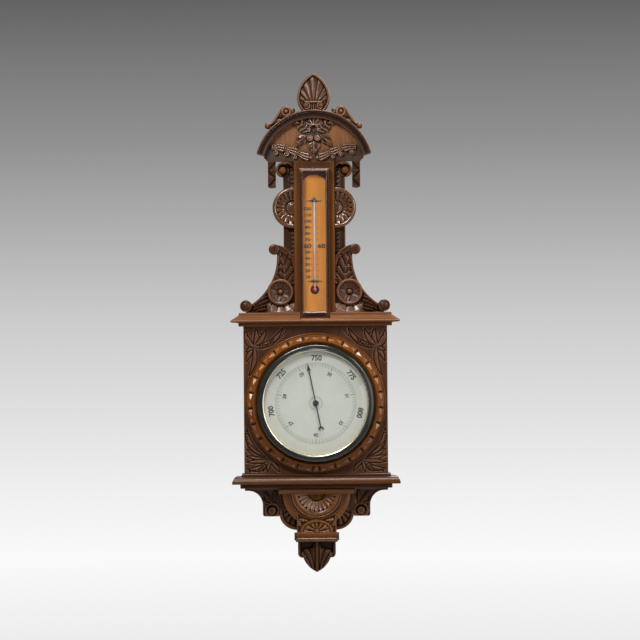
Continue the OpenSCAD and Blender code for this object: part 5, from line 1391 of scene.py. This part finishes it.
def finial_front(x, z):
    inset = -shell_gap(x, z)
    r, angle = polar(x, z, 0, FLUTE_Z)
    lobe, _ = petal_round(r, angle, 360 / FLUTE_DEGREES)
    ribs = hump(2 * lobe) * ease(2, 16, z - FLUTE_Z - 4)
    shell = FLUTE_RISE * ribs + SHELL_RISE * ease(4, 26, inset) - SHELL_SINK
    rim = -0.6 - fall(inset, SHELL_RIM_MIDDLE, SHELL_RIM_MIDDLE, drop=2.4)
    height = np.where(inset < SHELL_RIM, rim, shell) - groove(inset - SHELL_RIM - 0.4, half=0.9, depth=2.2)
    stalk = np.maximum(height, 2.0 * np.abs(np.cos(0.75 * x)) - STALK_SINK)
    scroll = volute(x, z, *CAPITAL_SCROLL, start=60, turns=0.9, rise=5.4, eye=0.34) - SCROLL_SINK
    height = layers(
        height, ((x < STALK_HALF) & (z < CAPITAL_Z), stalk), (disc(x, z, *CAPITAL_SCROLL) < 0, scroll)
    )
    bar = np.maximum(height, -fall(z, CAPITAL_Z, half=1, drop=0.5))
    on_bar = (np.abs(z - CAPITAL_Z) < CAPITAL_HIGH) & (x < CAPITAL_HALF)
    return finial.front + np.where(on_bar, bar, height)


relief("carved_finial", finial, finial_shape, finial_front, 0.6, panel_wood, rounding=1.2)

crest = Extent("crest_scrolls")
CREST_VOLUTE_ANGLE, CREST_VOLUTE_R, CREST_EYE_R = 25.0, 10.6, 4.4
CREST_BALL_ANGLE, CREST_BALL_R = 45.9, 5.7
CREST_BODY = [
    (44, 540), (44, 556), (52, 562.5), (58.5, 561.0), (66.5, 550.5),
    (75, 537.5), (81, 529.5), (84, 519), (70, 520),
]
CREST_LEAF, CREST_LEAF_HALF, CREST_LEAF_END = bow((45, 547), (35.5, 560.5), 0.12), 4.2, 44.5
CREST_BAND, CREST_BAND_MIDDLE = 4.6, 2.2
CREST_LOBES, CREST_LOBE_RISE, CREST_LEAN, CREST_SLOPE = 18, 4.4, 0.20, 0.12
CREST_SINK, CREST_LEAF_SINK, CREST_MOAT_SINK, CREST_EYE_SINK, CREST_BALL_SINK = 7.5, 9.0, 7.0, 4.4, 6.0


def on_circle(angle, radius, middle_z=0.0):
    return radius * math.sin(math.radians(angle)), middle_z + radius * math.cos(math.radians(angle))


crest_volute = on_circle(CREST_VOLUTE_ANGLE, HOOD_R + CREST_VOLUTE_R - 0.5, arch_z)
crest_ball = on_circle(CREST_BALL_ANGLE, HOOD_R + CREST_BALL_R + 3.0, arch_z)


def crest_shape(x, z):
    rounds = either(disc(x, z, *crest_volute, CREST_VOLUTE_R), disc(x, z, *crest_ball, CREST_BALL_R))
    small, _, _ = leaf_shape(x, z, CREST_LEAF, CREST_LEAF_HALF)
    return both(either(polygon(x, z, CREST_BODY), rounds, small), above_hood(x, z))


def crest_front(x, z):
    inset = -polygon(x, z, CREST_BODY)
    r, angle = polar(x, z, 0, arch_z)
    over = r - HOOD_R
    lobes = CREST_LOBE_RISE * np.abs(np.sin(CREST_LOBES * angle - CREST_LEAN * over)) ** 0.6
    lobes = lobes + CREST_SLOPE * over - CREST_SINK
    band = np.maximum(lobes - 2.5, -0.6 - fall(inset, CREST_BAND_MIDDLE, half=1, drop=0.30))
    small = leaf(x, z, CREST_LEAF, CREST_LEAF_HALF, rise=6.0, veins=3) - CREST_LEAF_SINK
    curl_r = disc(x, z, *crest_volute, 0)
    curl = layers(
        -0.3 - fall(curl_r, middle=7.4, half=1, drop=0.16), (curl_r < CREST_EYE_R + 1, -CREST_MOAT_SINK),
        (curl_r < CREST_EYE_R, dome(x, z, *crest_volute, CREST_EYE_R, rise=4.2) - CREST_EYE_SINK),
    )
    ball = dome(x, z, *crest_ball, CREST_BALL_R, rise=6.0) - CREST_BALL_SINK
    return crest.front + layers(
        lobes, ((inset < CREST_BAND) & (over > 5), band), (x < CREST_LEAF_END, small),
        (curl_r < CREST_VOLUTE_R, curl), (disc(x, z, *crest_ball, CREST_BALL_R) < 0, ball),
    )


relief("carved_crest_scrolls", crest, crest_shape, crest_front, 0.6, panel_wood, rounding=1.0)

# Console: a half sunburst over an arched block, on a plate with fan lobes

plate = Extent("console_plate")
LOBE, LOBE_FAN, LOBE_RIM, LOBE_SINK, LOBE_FLUTES = (37.5, -207.0), (40, -199), 6.4, 6.4, 8
BLOCK_HALF = 37.5
lobe_r = plate.half - LOBE[0]


def plate_shape(x, z):
    lobe = both(disc(x, z, *LOBE, lobe_r), LOBE[0] - 0.5 - x)
    middle = slab(x, z, BLOCK_HALF, plate.foot, plate.top)
    return either(slab(x, z, plate.half, LOBE[1], plate.top), middle, lobe)


def plate_front(x, z):
    r, angle = polar(x, z, *LOBE_FAN)
    fan = 3.0 * np.abs(np.sin(LOBE_FLUTES * angle - 0.3)) ** 0.7 * ease(6, 16, r) - LOBE_SINK
    inset = -both(disc(x, z, *LOBE, lobe_r), x - plate.half)
    rim = -0.6 - fall(np.clip(inset, 0, 9), middle=3.0, half=1, drop=0.10)
    edge = groove(inset - LOBE_RIM - 0.4, half=1.0, depth=2.0)
    height = np.where(inset < LOBE_RIM, rim, fan) - edge
    return plate.front + np.where(z > LOBE[1] + 4, -1.5, height)


relief("carved_console_plate", plate, plate_shape, plate_front, 1.0, panel_wood)

console = Extent("console")
SUN_R, SUN_PETALS, HEART_R, SUN_PETAL_LONG = 64.0, 26, 17, 19
BORDER_IN, BORDER_R, BEAD_IN, BEAD_MIDDLE = 36.4, 40.2, 44.2, 46.0
ROPE_HALF, ROPE_DROP, ROPE_SHARE, ROPE_STRANDS = 56.5, 49.5, 0.045, 53 / 3.4
ROPE_LEAN, ROPE_RISE, ROPE_FALL = 8, 5.0, 60
EDGE_SINK, EDGE_SLOPE, EDGE_FROM = 2.4, 0.18, 52
SUN_SINK, HEART_SINK, BEAD_SINK, ROPE_SINK, DRILL_R = 10.0, 14.0, 4.2, 7.0, 34.5
ROSETTE_Z, ROSETTE_R, DAISY_DEGREES, DAISY_SINK = -242.0, 5.2, 32, 3.0
BLOCK_SINK, BLOCK_DROP, BLOCK_FROM = 2.0, 40, 1.03
ARCHES, DAISY_TO, CORNER_FROM = [(31.8, 22.5), (25.4, 16.6)], 0.96, 1.06
CORNER_LEAVES = [(bow((35, -219), (27.5, -234), 0.12), 4.0), (bow((34, -218), (16, -220.5), 0.1), 3.2)]
CORNER_EDGE, CORNER_SINK = 2.6, 6.0
sun_z = console.top + 2.0


def console_shape(x, z):
    sun = both(disc(x, z, 0, sun_z, SUN_R), z - console.top)
    return either(sun, slab(x, z, BLOCK_HALF, console.foot, console.top))


def half_oval(x, z, base, half, rise):
    """1 on an oval round a base point, less inside it."""
    return np.sqrt((x / half) ** 2 + ((z - base) / rise) ** 2)


def sun_front(x, z):
    """A hollow shell of petals inside plain and roped borders."""
    r, angle = polar(x, z, 0, sun_z)
    turn, width = petal_round(r, angle, SUN_PETALS)
    side = (0.5 - np.abs(turn)) * width
    petal = petal_bowl(r, turn, HEART_R - 1, SUN_PETAL_LONG, rise=6.6, power=1.3, ridge=1.2, fade=0.2)
    hole = DRILL_DEEP * unit(2.2 - side - 0.8 * np.abs(r - DRILL_R))
    heart = dome(x, z, 0, sun_z, HEART_R, rise=4.0) - stipple(x, z, pitch=2.6, depth=2.4) - HEART_SINK
    border = -1.2 - fall(r, BORDER_R, half=1, drop=0.10)
    bead = np.maximum(-0.4 - fall(r, BEAD_MIDDLE, half=1, drop=0.8), -BEAD_SINK)
    off = half_oval(x, z, sun_z, ROPE_HALF, ROPE_DROP) - 1
    knob = ((np.pi - angle) * ROPE_STRANDS + ROPE_LEAN * off) % 1 - 0.5
    rope = ROPE_RISE * hump(2.1 * knob) - ROPE_FALL * off**2 - ROPE_SINK
    outside = np.where(off < ROPE_SHARE, rope, -EDGE_SINK - EDGE_SLOPE * (r - EDGE_FROM))
    return console.front + layers(
        petal - SUN_SINK - hole, (r < HEART_R, heart), (r > BORDER_IN, border), (r > BEAD_IN, bead),
        (off > -ROPE_SHARE, outside),
    )


def block_front(x, z):
    """An arch over half a daisy, with two leaves in each corner."""
    height = np.full(x.shape, -BLOCK_SINK)
    ovals = [half_oval(x, z, ROSETTE_Z, half, rise) for half, rise in ARCHES]
    above = z > ROSETTE_Z - 1
    for oval, (half, _) in zip(ovals, ARCHES):
        height = height - np.where(above, groove((oval - 1) * half, half=1.5, depth=3.4), 0)
    r, angle = polar(x, z, 0, ROSETTE_Z)
    turn, width = petal_round(r, angle, 360 / DAISY_DEGREES)
    side = (0.5 - np.abs(turn)) * width
    slit = 1.8 * unit(1.5 - side) * ease(8, 11, r) * (1 - ease(17, 20, r))
    hole = 1.6 * unit(2.4 - side - 0.8 * np.abs(r - 15))
    daisy = np.cos(2 * np.pi * turn) - slit - hole - DAISY_SINK
    rose = dome(x, z, 0, ROSETTE_Z, ROSETTE_R, rise=2.2) - groove(r - 2.6, half=0.8, depth=1.4) - DAISY_SINK
    height = layers(height, (above & (ovals[1] < DAISY_TO), daisy), (r < ROSETTE_R, rose))
    height = height - groove(r - ROSETTE_R - 0.4, half=0.9, depth=2.0)
    corner = above & (ovals[0] > CORNER_FROM) & (BLOCK_HALF - x > CORNER_EDGE)
    leaves = [leaf(x, z, spine, half, rise=4.4, veins=3) for spine, half in CORNER_LEAVES]
    return console.front + np.where(corner, np.maximum(*leaves) - CORNER_SINK, height)


def console_front(x, z):
    outside = half_oval(x, z, sun_z, ROPE_HALF, ROPE_DROP) > BLOCK_FROM
    on_block = outside & (z < sun_z - BLOCK_DROP) & (x < BLOCK_HALF)
    return np.where(on_block, block_front(x, z), sun_front(x, z))


relief("carved_console", console, console_shape, console_front, 0.62, russet,
       span=(-SUN_R, SUN_R, console.foot, console.top))

neck = Extent("neck_moulding")
BAR_HIGH = 9.4
block_foot, block_top = neck.foot + BAR_HIGH, console.foot + 1.0


def block_foot_shape(x, z):
    return slab(x, z, BLOCK_HALF, block_foot, block_top)


def block_foot_front(x, z):
    return console.front - BLOCK_SINK + 0.2 * np.cos(0.3 * x)


relief("console_block_foot", console, block_foot_shape, block_foot_front, 0.8, russet,
       span=(-BLOCK_HALF, BLOCK_HALF, block_foot, block_top), back=console.front - 6.0)

cap = Extent("console_cap")
CAP_NOSE, CAP_COVE = 3.4, 8.0
cap_nose = cap.front - CAP_NOSE
cap_profile = (
    [(cap.back, cap.top), (cap_nose - 4, cap.top)]
    + arc(cap_nose, cap.top - 1.0 - CAP_NOSE, CAP_NOSE, 80, -80, 8)
    + [(cap_nose, cap.top - CAP_COVE), (cap_nose - 2, cap.foot), (cap.back, cap.foot)]
)
cap_rings = [[(x, depth, z) for depth, z in cap_profile] for x in np.linspace(cap.left, cap.right, 40)]
loft("moulded_console_cap", cap_rings, level_wood, [cap.node], crease=35)

# Ears: a hooked scroll with leaves, under the lower cornice

ears = Extent("lower_ears")
EAR_FOOT_X, EAR_COVE, EAR_TOP, EAR_CORNER = 101.7, 27.4, 5.6, 4
HOOK, HOOK_R, HOOK_HALF, HOOK_DEEP, EAR_THICK = (84.3, -203.5), 8.8, 2.4, 6.0, 6.4
EAR_EDGE, EAR_DIP, CURL_OUTER, CURL_INNER = 2.6, 0.9, 4.6, 3.6
HOOK_TURNS, HOOK_WIDTHS = [-180, -60, 0, 90, 180], [0.9, 0.15, 0.8, 1.1, 0.9]
EAR_LEAVES = [
    (bow((80, -186), (80, -164.5), 0.05), 5.2), (bow((83, -190), (98, -167), -0.06), 6.0),
    (bow((88, -190), (128, -164), -0.10), 5.0), (bow((97, -199), (100.5, -178), -0.06), 4.0),
]
cove_top = ears.top - EAR_TOP
ear_points = (
    [(plate.half, ears.top), (ears.right, ears.top), (ears.right, cove_top)]
    + arc(EAR_FOOT_X + EAR_COVE, cove_top - EAR_COVE, EAR_COVE, 90, 180, 12)
    + arc(EAR_FOOT_X - EAR_CORNER, ears.foot + EAR_CORNER, EAR_CORNER, 0, -90, 4)
    + [(plate.half, ears.foot)]
)


def ear_shape(x, z):
    return polygon(x, z, ear_points)


def ear_front(x, z):
    height = EAR_EDGE - EAR_DIP * ease(0, 6, -ear_shape(x, z))
    for spine, half in EAR_LEAVES:
        blade = leaf(x, z, spine, half, EAR_THICK, lobes=3, veins=4, edge=0.25, cupped=0.25)
        height = np.maximum(height, blade)
    r = disc(x, z, *HOOK, 0)
    turn = np.degrees(np.arctan2(z - HOOK[1], x - HOOK[0]))
    width = HOOK_HALF * np.interp(turn, HOOK_TURNS, HOOK_WIDTHS)
    outer = CURL_OUTER - 0.3 * np.clip(r - HOOK_R - 4, 0, 9)
    curl = np.where(r < HOOK_R, CURL_INNER + dome(x, z, *HOOK, HOOK_R, rise=1.6), outer)
    near_hook = (r < HOOK_R + 6) & (z < HOOK[1] + 14)
    height = np.where(near_hook, np.maximum(curl, height * (r > HOOK_R + 3)), height)
    return ears.front - EAR_THICK + height - HOOK_DEEP * unit(1 - np.abs(r - HOOK_R) / width) ** 0.5


relief("carved_ears", ears, ear_shape, ear_front, 0.8, walnut)

# Neck under the console: a rounded bar before a slab with rounded ends

BAR_HALF, BAR_RISE, BAR_END, BAR_END_FALL = 39.6, 6.4, 2.5, 3.0
SLAB_SINK, SHOULDER, SHOULDER_FALL = 9.0, 5, 4.0
bar_z = neck.foot + BAR_HIGH / 2


def neck_shape(x, z):
    return either(slab(x, z, neck.half, neck.foot + 3.2, neck.top), slab(x, z, BAR_HALF, neck.foot, neck.top))


def neck_front(x, z):
    ground = -SLAB_SINK - SHOULDER_FALL * (1 - hump(unit((x - neck.half + SHOULDER) / SHOULDER)))
    bar = BAR_RISE * hump((z - bar_z) / (BAR_HIGH / 2)) - BAR_RISE
    bar = bar - BAR_END_FALL * unit((x - BAR_HALF + BAR_END) / BAR_END) ** 2
    on_bar = (z < block_foot) & (x < BAR_HALF)
    return neck.front + np.where(on_bar, np.maximum(bar, ground - 1.5), ground)


relief("moulded_neck", neck, neck_shape, neck_front, 0.5, walnut)

# Pendant: an acanthus leaf in a niche between two strips

pendant = Extent("pendant")
PENDANT_HALF, PENDANT_FOOT, PENDANT_CORNER = 35.7, -292.1, 8.0
LEAF_HALF, LEAF_WIDE_Z = 29.0, -275.1
LEAF_TOPS = [(0, -262), (4.5, -263), (8, -272), (13, -275.5), (19, -274.5), (26, -277.5), (31, -284)]
STEM_OUT, SIDE_STRIP_IN, SIDE_STRIP_MIDDLE = 3.2, 30.5, 33.2
BLADE_RUN, BLADE_NARROW, BLADE_SPREAD, BLADE_FLUTES, CURL_DROP = 57, 4, 15, 2.7, 5.0
BLADE_SINK, STEM_SINK, SIDE_STRIP_SINK, NICHE_SINK = 6.0, 1.2, 8.0, 17.0
leaf_run = LEAF_WIDE_Z - pendant.foot
leaf_r = (LEAF_HALF**2 + leaf_run**2) / (2 * LEAF_HALF)


def pendant_shape(x, z):
    corner_x, corner_z = PENDANT_HALF - PENDANT_CORNER, PENDANT_FOOT + PENDANT_CORNER
    block = slab(x, z, PENDANT_HALF, PENDANT_FOOT, pendant.top)
    corner = np.maximum(block, disc(x, z, corner_x, corner_z, PENDANT_CORNER))
    block = np.where((x > corner_x) & (z < corner_z), corner, block)
    drop = both(disc(x, z, LEAF_HALF - leaf_r, LEAF_WIDE_Z, leaf_r), z - LEAF_WIDE_Z)
    return either(block, drop, slab(x, z, LEAF_HALF, LEAF_WIDE_Z, pendant.top))


def pendant_front(x, z):
    """Fluted blades rising from the tip on both sides of a stem."""
    under = np.interp(x, *zip(*LEAF_TOPS)) - z
    rise = np.clip(z - pendant.foot, 0, 60) / BLADE_RUN
    flute = np.abs(np.sin(x / (BLADE_NARROW + BLADE_SPREAD * rise**1.8) * BLADE_FLUTES)) ** 0.6
    curled = CURL_DROP * np.exp(-np.clip(under, 0, 99) / CURL_DROP) * (x > 5)
    blade = 2.6 * flute - 0.07 * x - curled - BLADE_SINK
    stem = -STEM_SINK - fall(x, 0, half=2.2, drop=1.1)
    height = np.where(x < STEM_OUT, np.maximum(stem, blade), blade)
    height = height - groove(x - STEM_OUT - 0.8, half=1.2, depth=2.6)
    height = np.where(under > 0, height, -NICHE_SINK)
    strip = -SIDE_STRIP_SINK - fall(x, SIDE_STRIP_MIDDLE, half=1, drop=0.25)
    strip = np.where(under > 8, np.maximum(strip, height), strip)
    return pendant.front + np.where((x > SIDE_STRIP_IN) & (z > PENDANT_FOOT - 1), strip, height)


relief("carved_pendant", pendant, pendant_shape, pendant_front, 0.6, trunk_wood,
       span=(-PENDANT_HALF, PENDANT_HALF, pendant.foot, pendant.top), rounding=1.2)

# Bezel, sight ring and dial print

bezel = Extent("bezel")
sight = Extent("sight_ring")
LIP_R, BEZEL_ROUND, LIP_ROUND, SIGHT_WIDE = 100.1, 5.2, 1.2, 4.7
turned("spun_bezel", (
    [(bezel.half - 1.4, bezel.back), (bezel.half, bezel.back), (bezel.half, bezel.front - 7.5)]
    + arc(bezel.half - BEZEL_ROUND, bezel.front - 6.4, BEZEL_ROUND, -10, 74, 8)
    + [(LIP_R + 2.6, bezel.front - 1.0)]
    + arc(LIP_R + LIP_ROUND, bezel.front - LIP_ROUND, LIP_ROUND, 60, 180, 5)
    + [(LIP_R, sight.front + 0.2), (sight.half + 0.2, sight.front + 0.2), (sight.half + 0.2, bezel.back + 8)]
), 256, japan, [bezel.node])
turned("turned_sight_ring", (
    [(sight.half - SIGHT_WIDE, sight.back), (sight.half, sight.back), (sight.half, sight.front - 0.4)]
    + [(sight.half - 0.4, sight.front), (sight.half - 1.4, sight.front)]
    + [(sight.half - SIGHT_WIDE + 3.0 * t, sight.back + 0.8 + 1.6 * t**1.5) for t in np.linspace(1, 0, 6)]
), 256, pale_brass, [sight.node])

dial = Extent("dial")
FIRST_INCH, INCHES, TOP_INCH, TICKS_PER_INCH, MM_PER_INCH = 26, 7, 29.5, 20, 25.4
PRINT_THICK, SCALE_OUT = 0.06, 76.4
INCH_R, INCH_HIGH, PRESSURE_R, PRESSURE_HIGH = 60.5, 6.4, 85.5, 9.4
INCH_TICK, TENTH_TICK, HALF_TICK = (66.0, 0.9), (68.6, 0.55), (71.0, 0.35)
PRINTED_RINGS = ((SCALE_OUT, 0.25), (97.2, 0.4), (11.2, 0.4), (12.8, 0.3))


def dial_angle(inch):
    """Degrees clockwise from the top of the dial."""
    return (inch - TOP_INCH) * 360 / INCHES


dial_ticks = []
for tick in range(INCHES * TICKS_PER_INCH):
    angle = dial_angle(TOP_INCH + (tick - TICKS_PER_INCH / 2) / TICKS_PER_INCH)
    inner, width = INCH_TICK if tick % TICKS_PER_INCH == 0 else TENTH_TICK if tick % 2 == 0 else HALF_TICK
    dial_ticks.append((*on_circle(angle, inner), *on_circle(angle, SCALE_OUT), width))
for radius, width in PRINTED_RINGS:
    spots = [on_circle(angle, radius) for angle in range(0, 361, 2)]
    dial_ticks += [(*a, *b, width) for a, b in zip(spots[:-1], spots[1:])]
inch_values = [(inch, inch, INCH_HIGH, INCH_R) for inch in range(FIRST_INCH, FIRST_INCH + INCHES)]
pressures = [(value, value / MM_PER_INCH, PRESSURE_HIGH, PRESSURE_R) for value in range(700, 801, 25)]
figures = [
    (str(value), high, *on_circle(dial_angle(inch), radius), dial_angle(inch))
    for value, inch, high, radius in inch_values + pressures
]
make_piece("dial_scale", *tick_shapes(dial_ticks, dial.front, PRINT_THICK), ink, crease=30)
make_piece("dial_figures", *text_shapes(figures, dial.front, PRINT_THICK), ink, crease=30, weld=True)

# Chain from the arbor's drum to the arm of the rocking shaft

chain = Extent("chain")
LINK_PITCH, LINK_HALF, LINK_SIDE, WIRE_R = 1.5, 0.88, 0.17, 0.12
ROUND_LINK, ROUND_WIRE = 14, 6
chain_depth, chain_z = (chain.front + chain.back) / 2, chain.middle_z
around = np.linspace(0, 2 * np.pi, ROUND_LINK, endpoint=False)[:, None]
wire = np.linspace(0, 2 * np.pi, ROUND_WIRE, endpoint=False)[None, :]
link_faces = skin_faces(np.arange(ROUND_LINK * ROUND_WIRE).reshape(ROUND_LINK, ROUND_WIRE))
long_way = (LINK_HALF - WIRE_R + WIRE_R * np.cos(wire)) * np.cos(around)
side_way = (LINK_SIDE + WIRE_R * np.cos(wire)) * np.sin(around)
thick_way = WIRE_R * np.sin(wire) + 0 * around
chain_points, chain_faces = [], []
for i in range(int((chain.right - chain.left) / LINK_PITCH)):
    middle = chain.left + LINK_HALF + 0.1 + i * LINK_PITCH
    deep, high = (side_way, thick_way) if i % 2 else (thick_way, side_way)
    chain_points.append(place(middle + long_way, chain_depth + deep, chain_z + high).reshape(-1, 3))
    chain_faces += (link_faces + i * ROUND_LINK * ROUND_WIRE).tolist()
links = make_piece("fine_chain", np.concatenate(chain_points), chain_faces, steel, ["chain"], body=None)
place(chain.left, chain_depth, chain_z)
place(chain.right, chain_depth, chain_z)
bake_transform(links)

# CAD nodes that keep their own shape

NODE_FINISHES = [
    (tube_glass, "thermometer_tube"),
    (honey, "tympanum"),
    (brass, "dial_spacer arbor_plates arbor_pillars link rocker_posts spring_bridge vacuum_capsule"
            " movement_plate movement_case movement_screws hanging_plate hanging_screws"),
    (steel, "arbor hairspring rocking_shaft main_lever lever_pin main_spring spring_screws capsule_pin"
            " adjusting_screw board_screws"),
    (blued, "hand hand_hub"),
    (walnut, "backboard case_sides"),
    (clear_glass, "dial_glass thermometer_pane"),
    (spirit, "thermometer_liquid"),
    (boxwood, "thermometer_scale"),
    (enamel, "dial"),
]
WORN_NODES, WORN_EDGE, WORN_ANGLE = ("case_sides", "thermometer_scale", "backboard"), 0.9, 40
for material, names in NODE_FINISHES:
    for name in names.split():
        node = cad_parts[name]
        node.data.materials.clear()
        node.data.materials.append(material)
        if name in WORN_NODES:
            bevel = node.modifiers.new("worn_edges", "BEVEL")
            bevel.width = WORN_EDGE * MM
            bevel.segments = 3
            bevel.limit_method = "ANGLE"
            bevel.angle_limit = math.radians(WORN_ANGLE)

# Camera, light and surroundings, in metres

PHOTO_WIDTH, VIEW_DISTANCE, VIEW_PLANE, SENSOR = 1.206, 6.0, 0.058, 36.0
AIM_X, AIM_Z, ROLL = 0.0092, (156.9 + axis_z) * MM, 0.45

camera_data = bpy.data.cameras.new("camera")
camera_data.sensor_width = SENSOR
camera_data.lens = SENSOR * VIEW_DISTANCE / PHOTO_WIDTH
camera = add_object("camera", camera_data)
camera.location = (AIM_X, -VIEW_DISTANCE - VIEW_PLANE, AIM_Z)
camera.rotation_euler = (math.radians(90), math.radians(ROLL), 0)
bpy.context.scene.camera = camera

LAMP_AIM = (0, 0, -0.35)
LAMPS = [
    ("key", (-0.35, -0.95, 0.40), 0.35, 10),
    ("top", (0.10, -0.45, 1.35), 0.6, 27),
    ("front", (1.5, -2.2, -0.4), 1.4, 8),
    ("right_key", (0.60, -0.95, 0.0), 0.25, 2.5),
    ("right_fill", (2.2, -1.2, 0.2), 1.0, 5),
    ("back_fill", (0.6, 2.4, 0.9), 2.0, 30),
]
for name, spot, size, power in LAMPS:
    light = bpy.data.lights.new(name, "AREA")
    light.shape = "DISK"
    light.size = size
    light.energy = power
    lamp = add_object(name, light)
    lamp.location = spot
    lamp.rotation_euler = Vector(np.subtract(LAMP_AIM, spot)).to_track_quat("-Z", "Y").to_euler()

FLOOR_Z, FLOOR_X, FLOOR_FRONT, FLOOR_BACK = -1.22, 1.8, -1.6, 1.2
floor_corners = [
    (-FLOOR_X, FLOOR_FRONT), (FLOOR_X, FLOOR_FRONT), (FLOOR_X, FLOOR_BACK), (-FLOOR_X, FLOOR_BACK),
]
floor_mesh = bpy.data.meshes.new("floor")
floor_mesh.from_pydata([(x, y, FLOOR_Z) for x, y in floor_corners], [], [(0, 1, 2, 3)])
floor_mesh.materials.append(coated("pale_floor", "white_enamel", (0.72, 0.71, 0.69), (0.68, 0.67, 0.65), 0.6))
floor = add_object("floor", floor_mesh)

BACKDROP_LOW, BACKDROP_HIGH, MIRRORED = -0.3, 0.1, 0.12
FILL_COLOUR, FILL_STRENGTH = (0.95, 0.97, 1.0), 0.12
SHADES = [
    (0.0, 0.30), (0.25, 0.60), (0.50, 0.84), (0.565, 0.95), (0.61, 0.88),
    (0.68, 0.74), (0.75, 0.60), (0.82, 0.43), (0.89, 0.28), (1.0, 0.125),
]
world = Recipe("studio")
height = world.add("SeparateXYZ", out="Z", Vector=world.add("TexCoord", out="Generated"))
shade = world.add("ValToRGB", Fac=world.range(height, BACKDROP_LOW, BACKDROP_HIGH))
stops = shade.node.color_ramp.elements
while len(stops) < len(SHADES):
    stops.new(0.5)
for stop, (position, level) in zip(stops, SHADES):
    stop.position = position
    stop.color = (level, level, level, 1.0)
camera_ray, clear_ray, mirror_ray = (
    world.add("LightPath", out="Is %s Ray" % kind) for kind in ("Camera", "Transmission", "Glossy")
)
shown = world.calc("MULTIPLY_ADD", mirror_ray, MIRRORED, world.calc("MAXIMUM", camera_ray, clear_ray))
backdrop = world.add("Background", Color=shade)
fill = world.add("Background", Color=FILL_COLOUR, Strength=FILL_STRENGTH)
bpy.context.scene.world = world.finish(Surface=world.add("MixShader", _0=shown, _1=fill, _2=backdrop))

bpy.context.scene.view_settings.view_transform = "Standard"
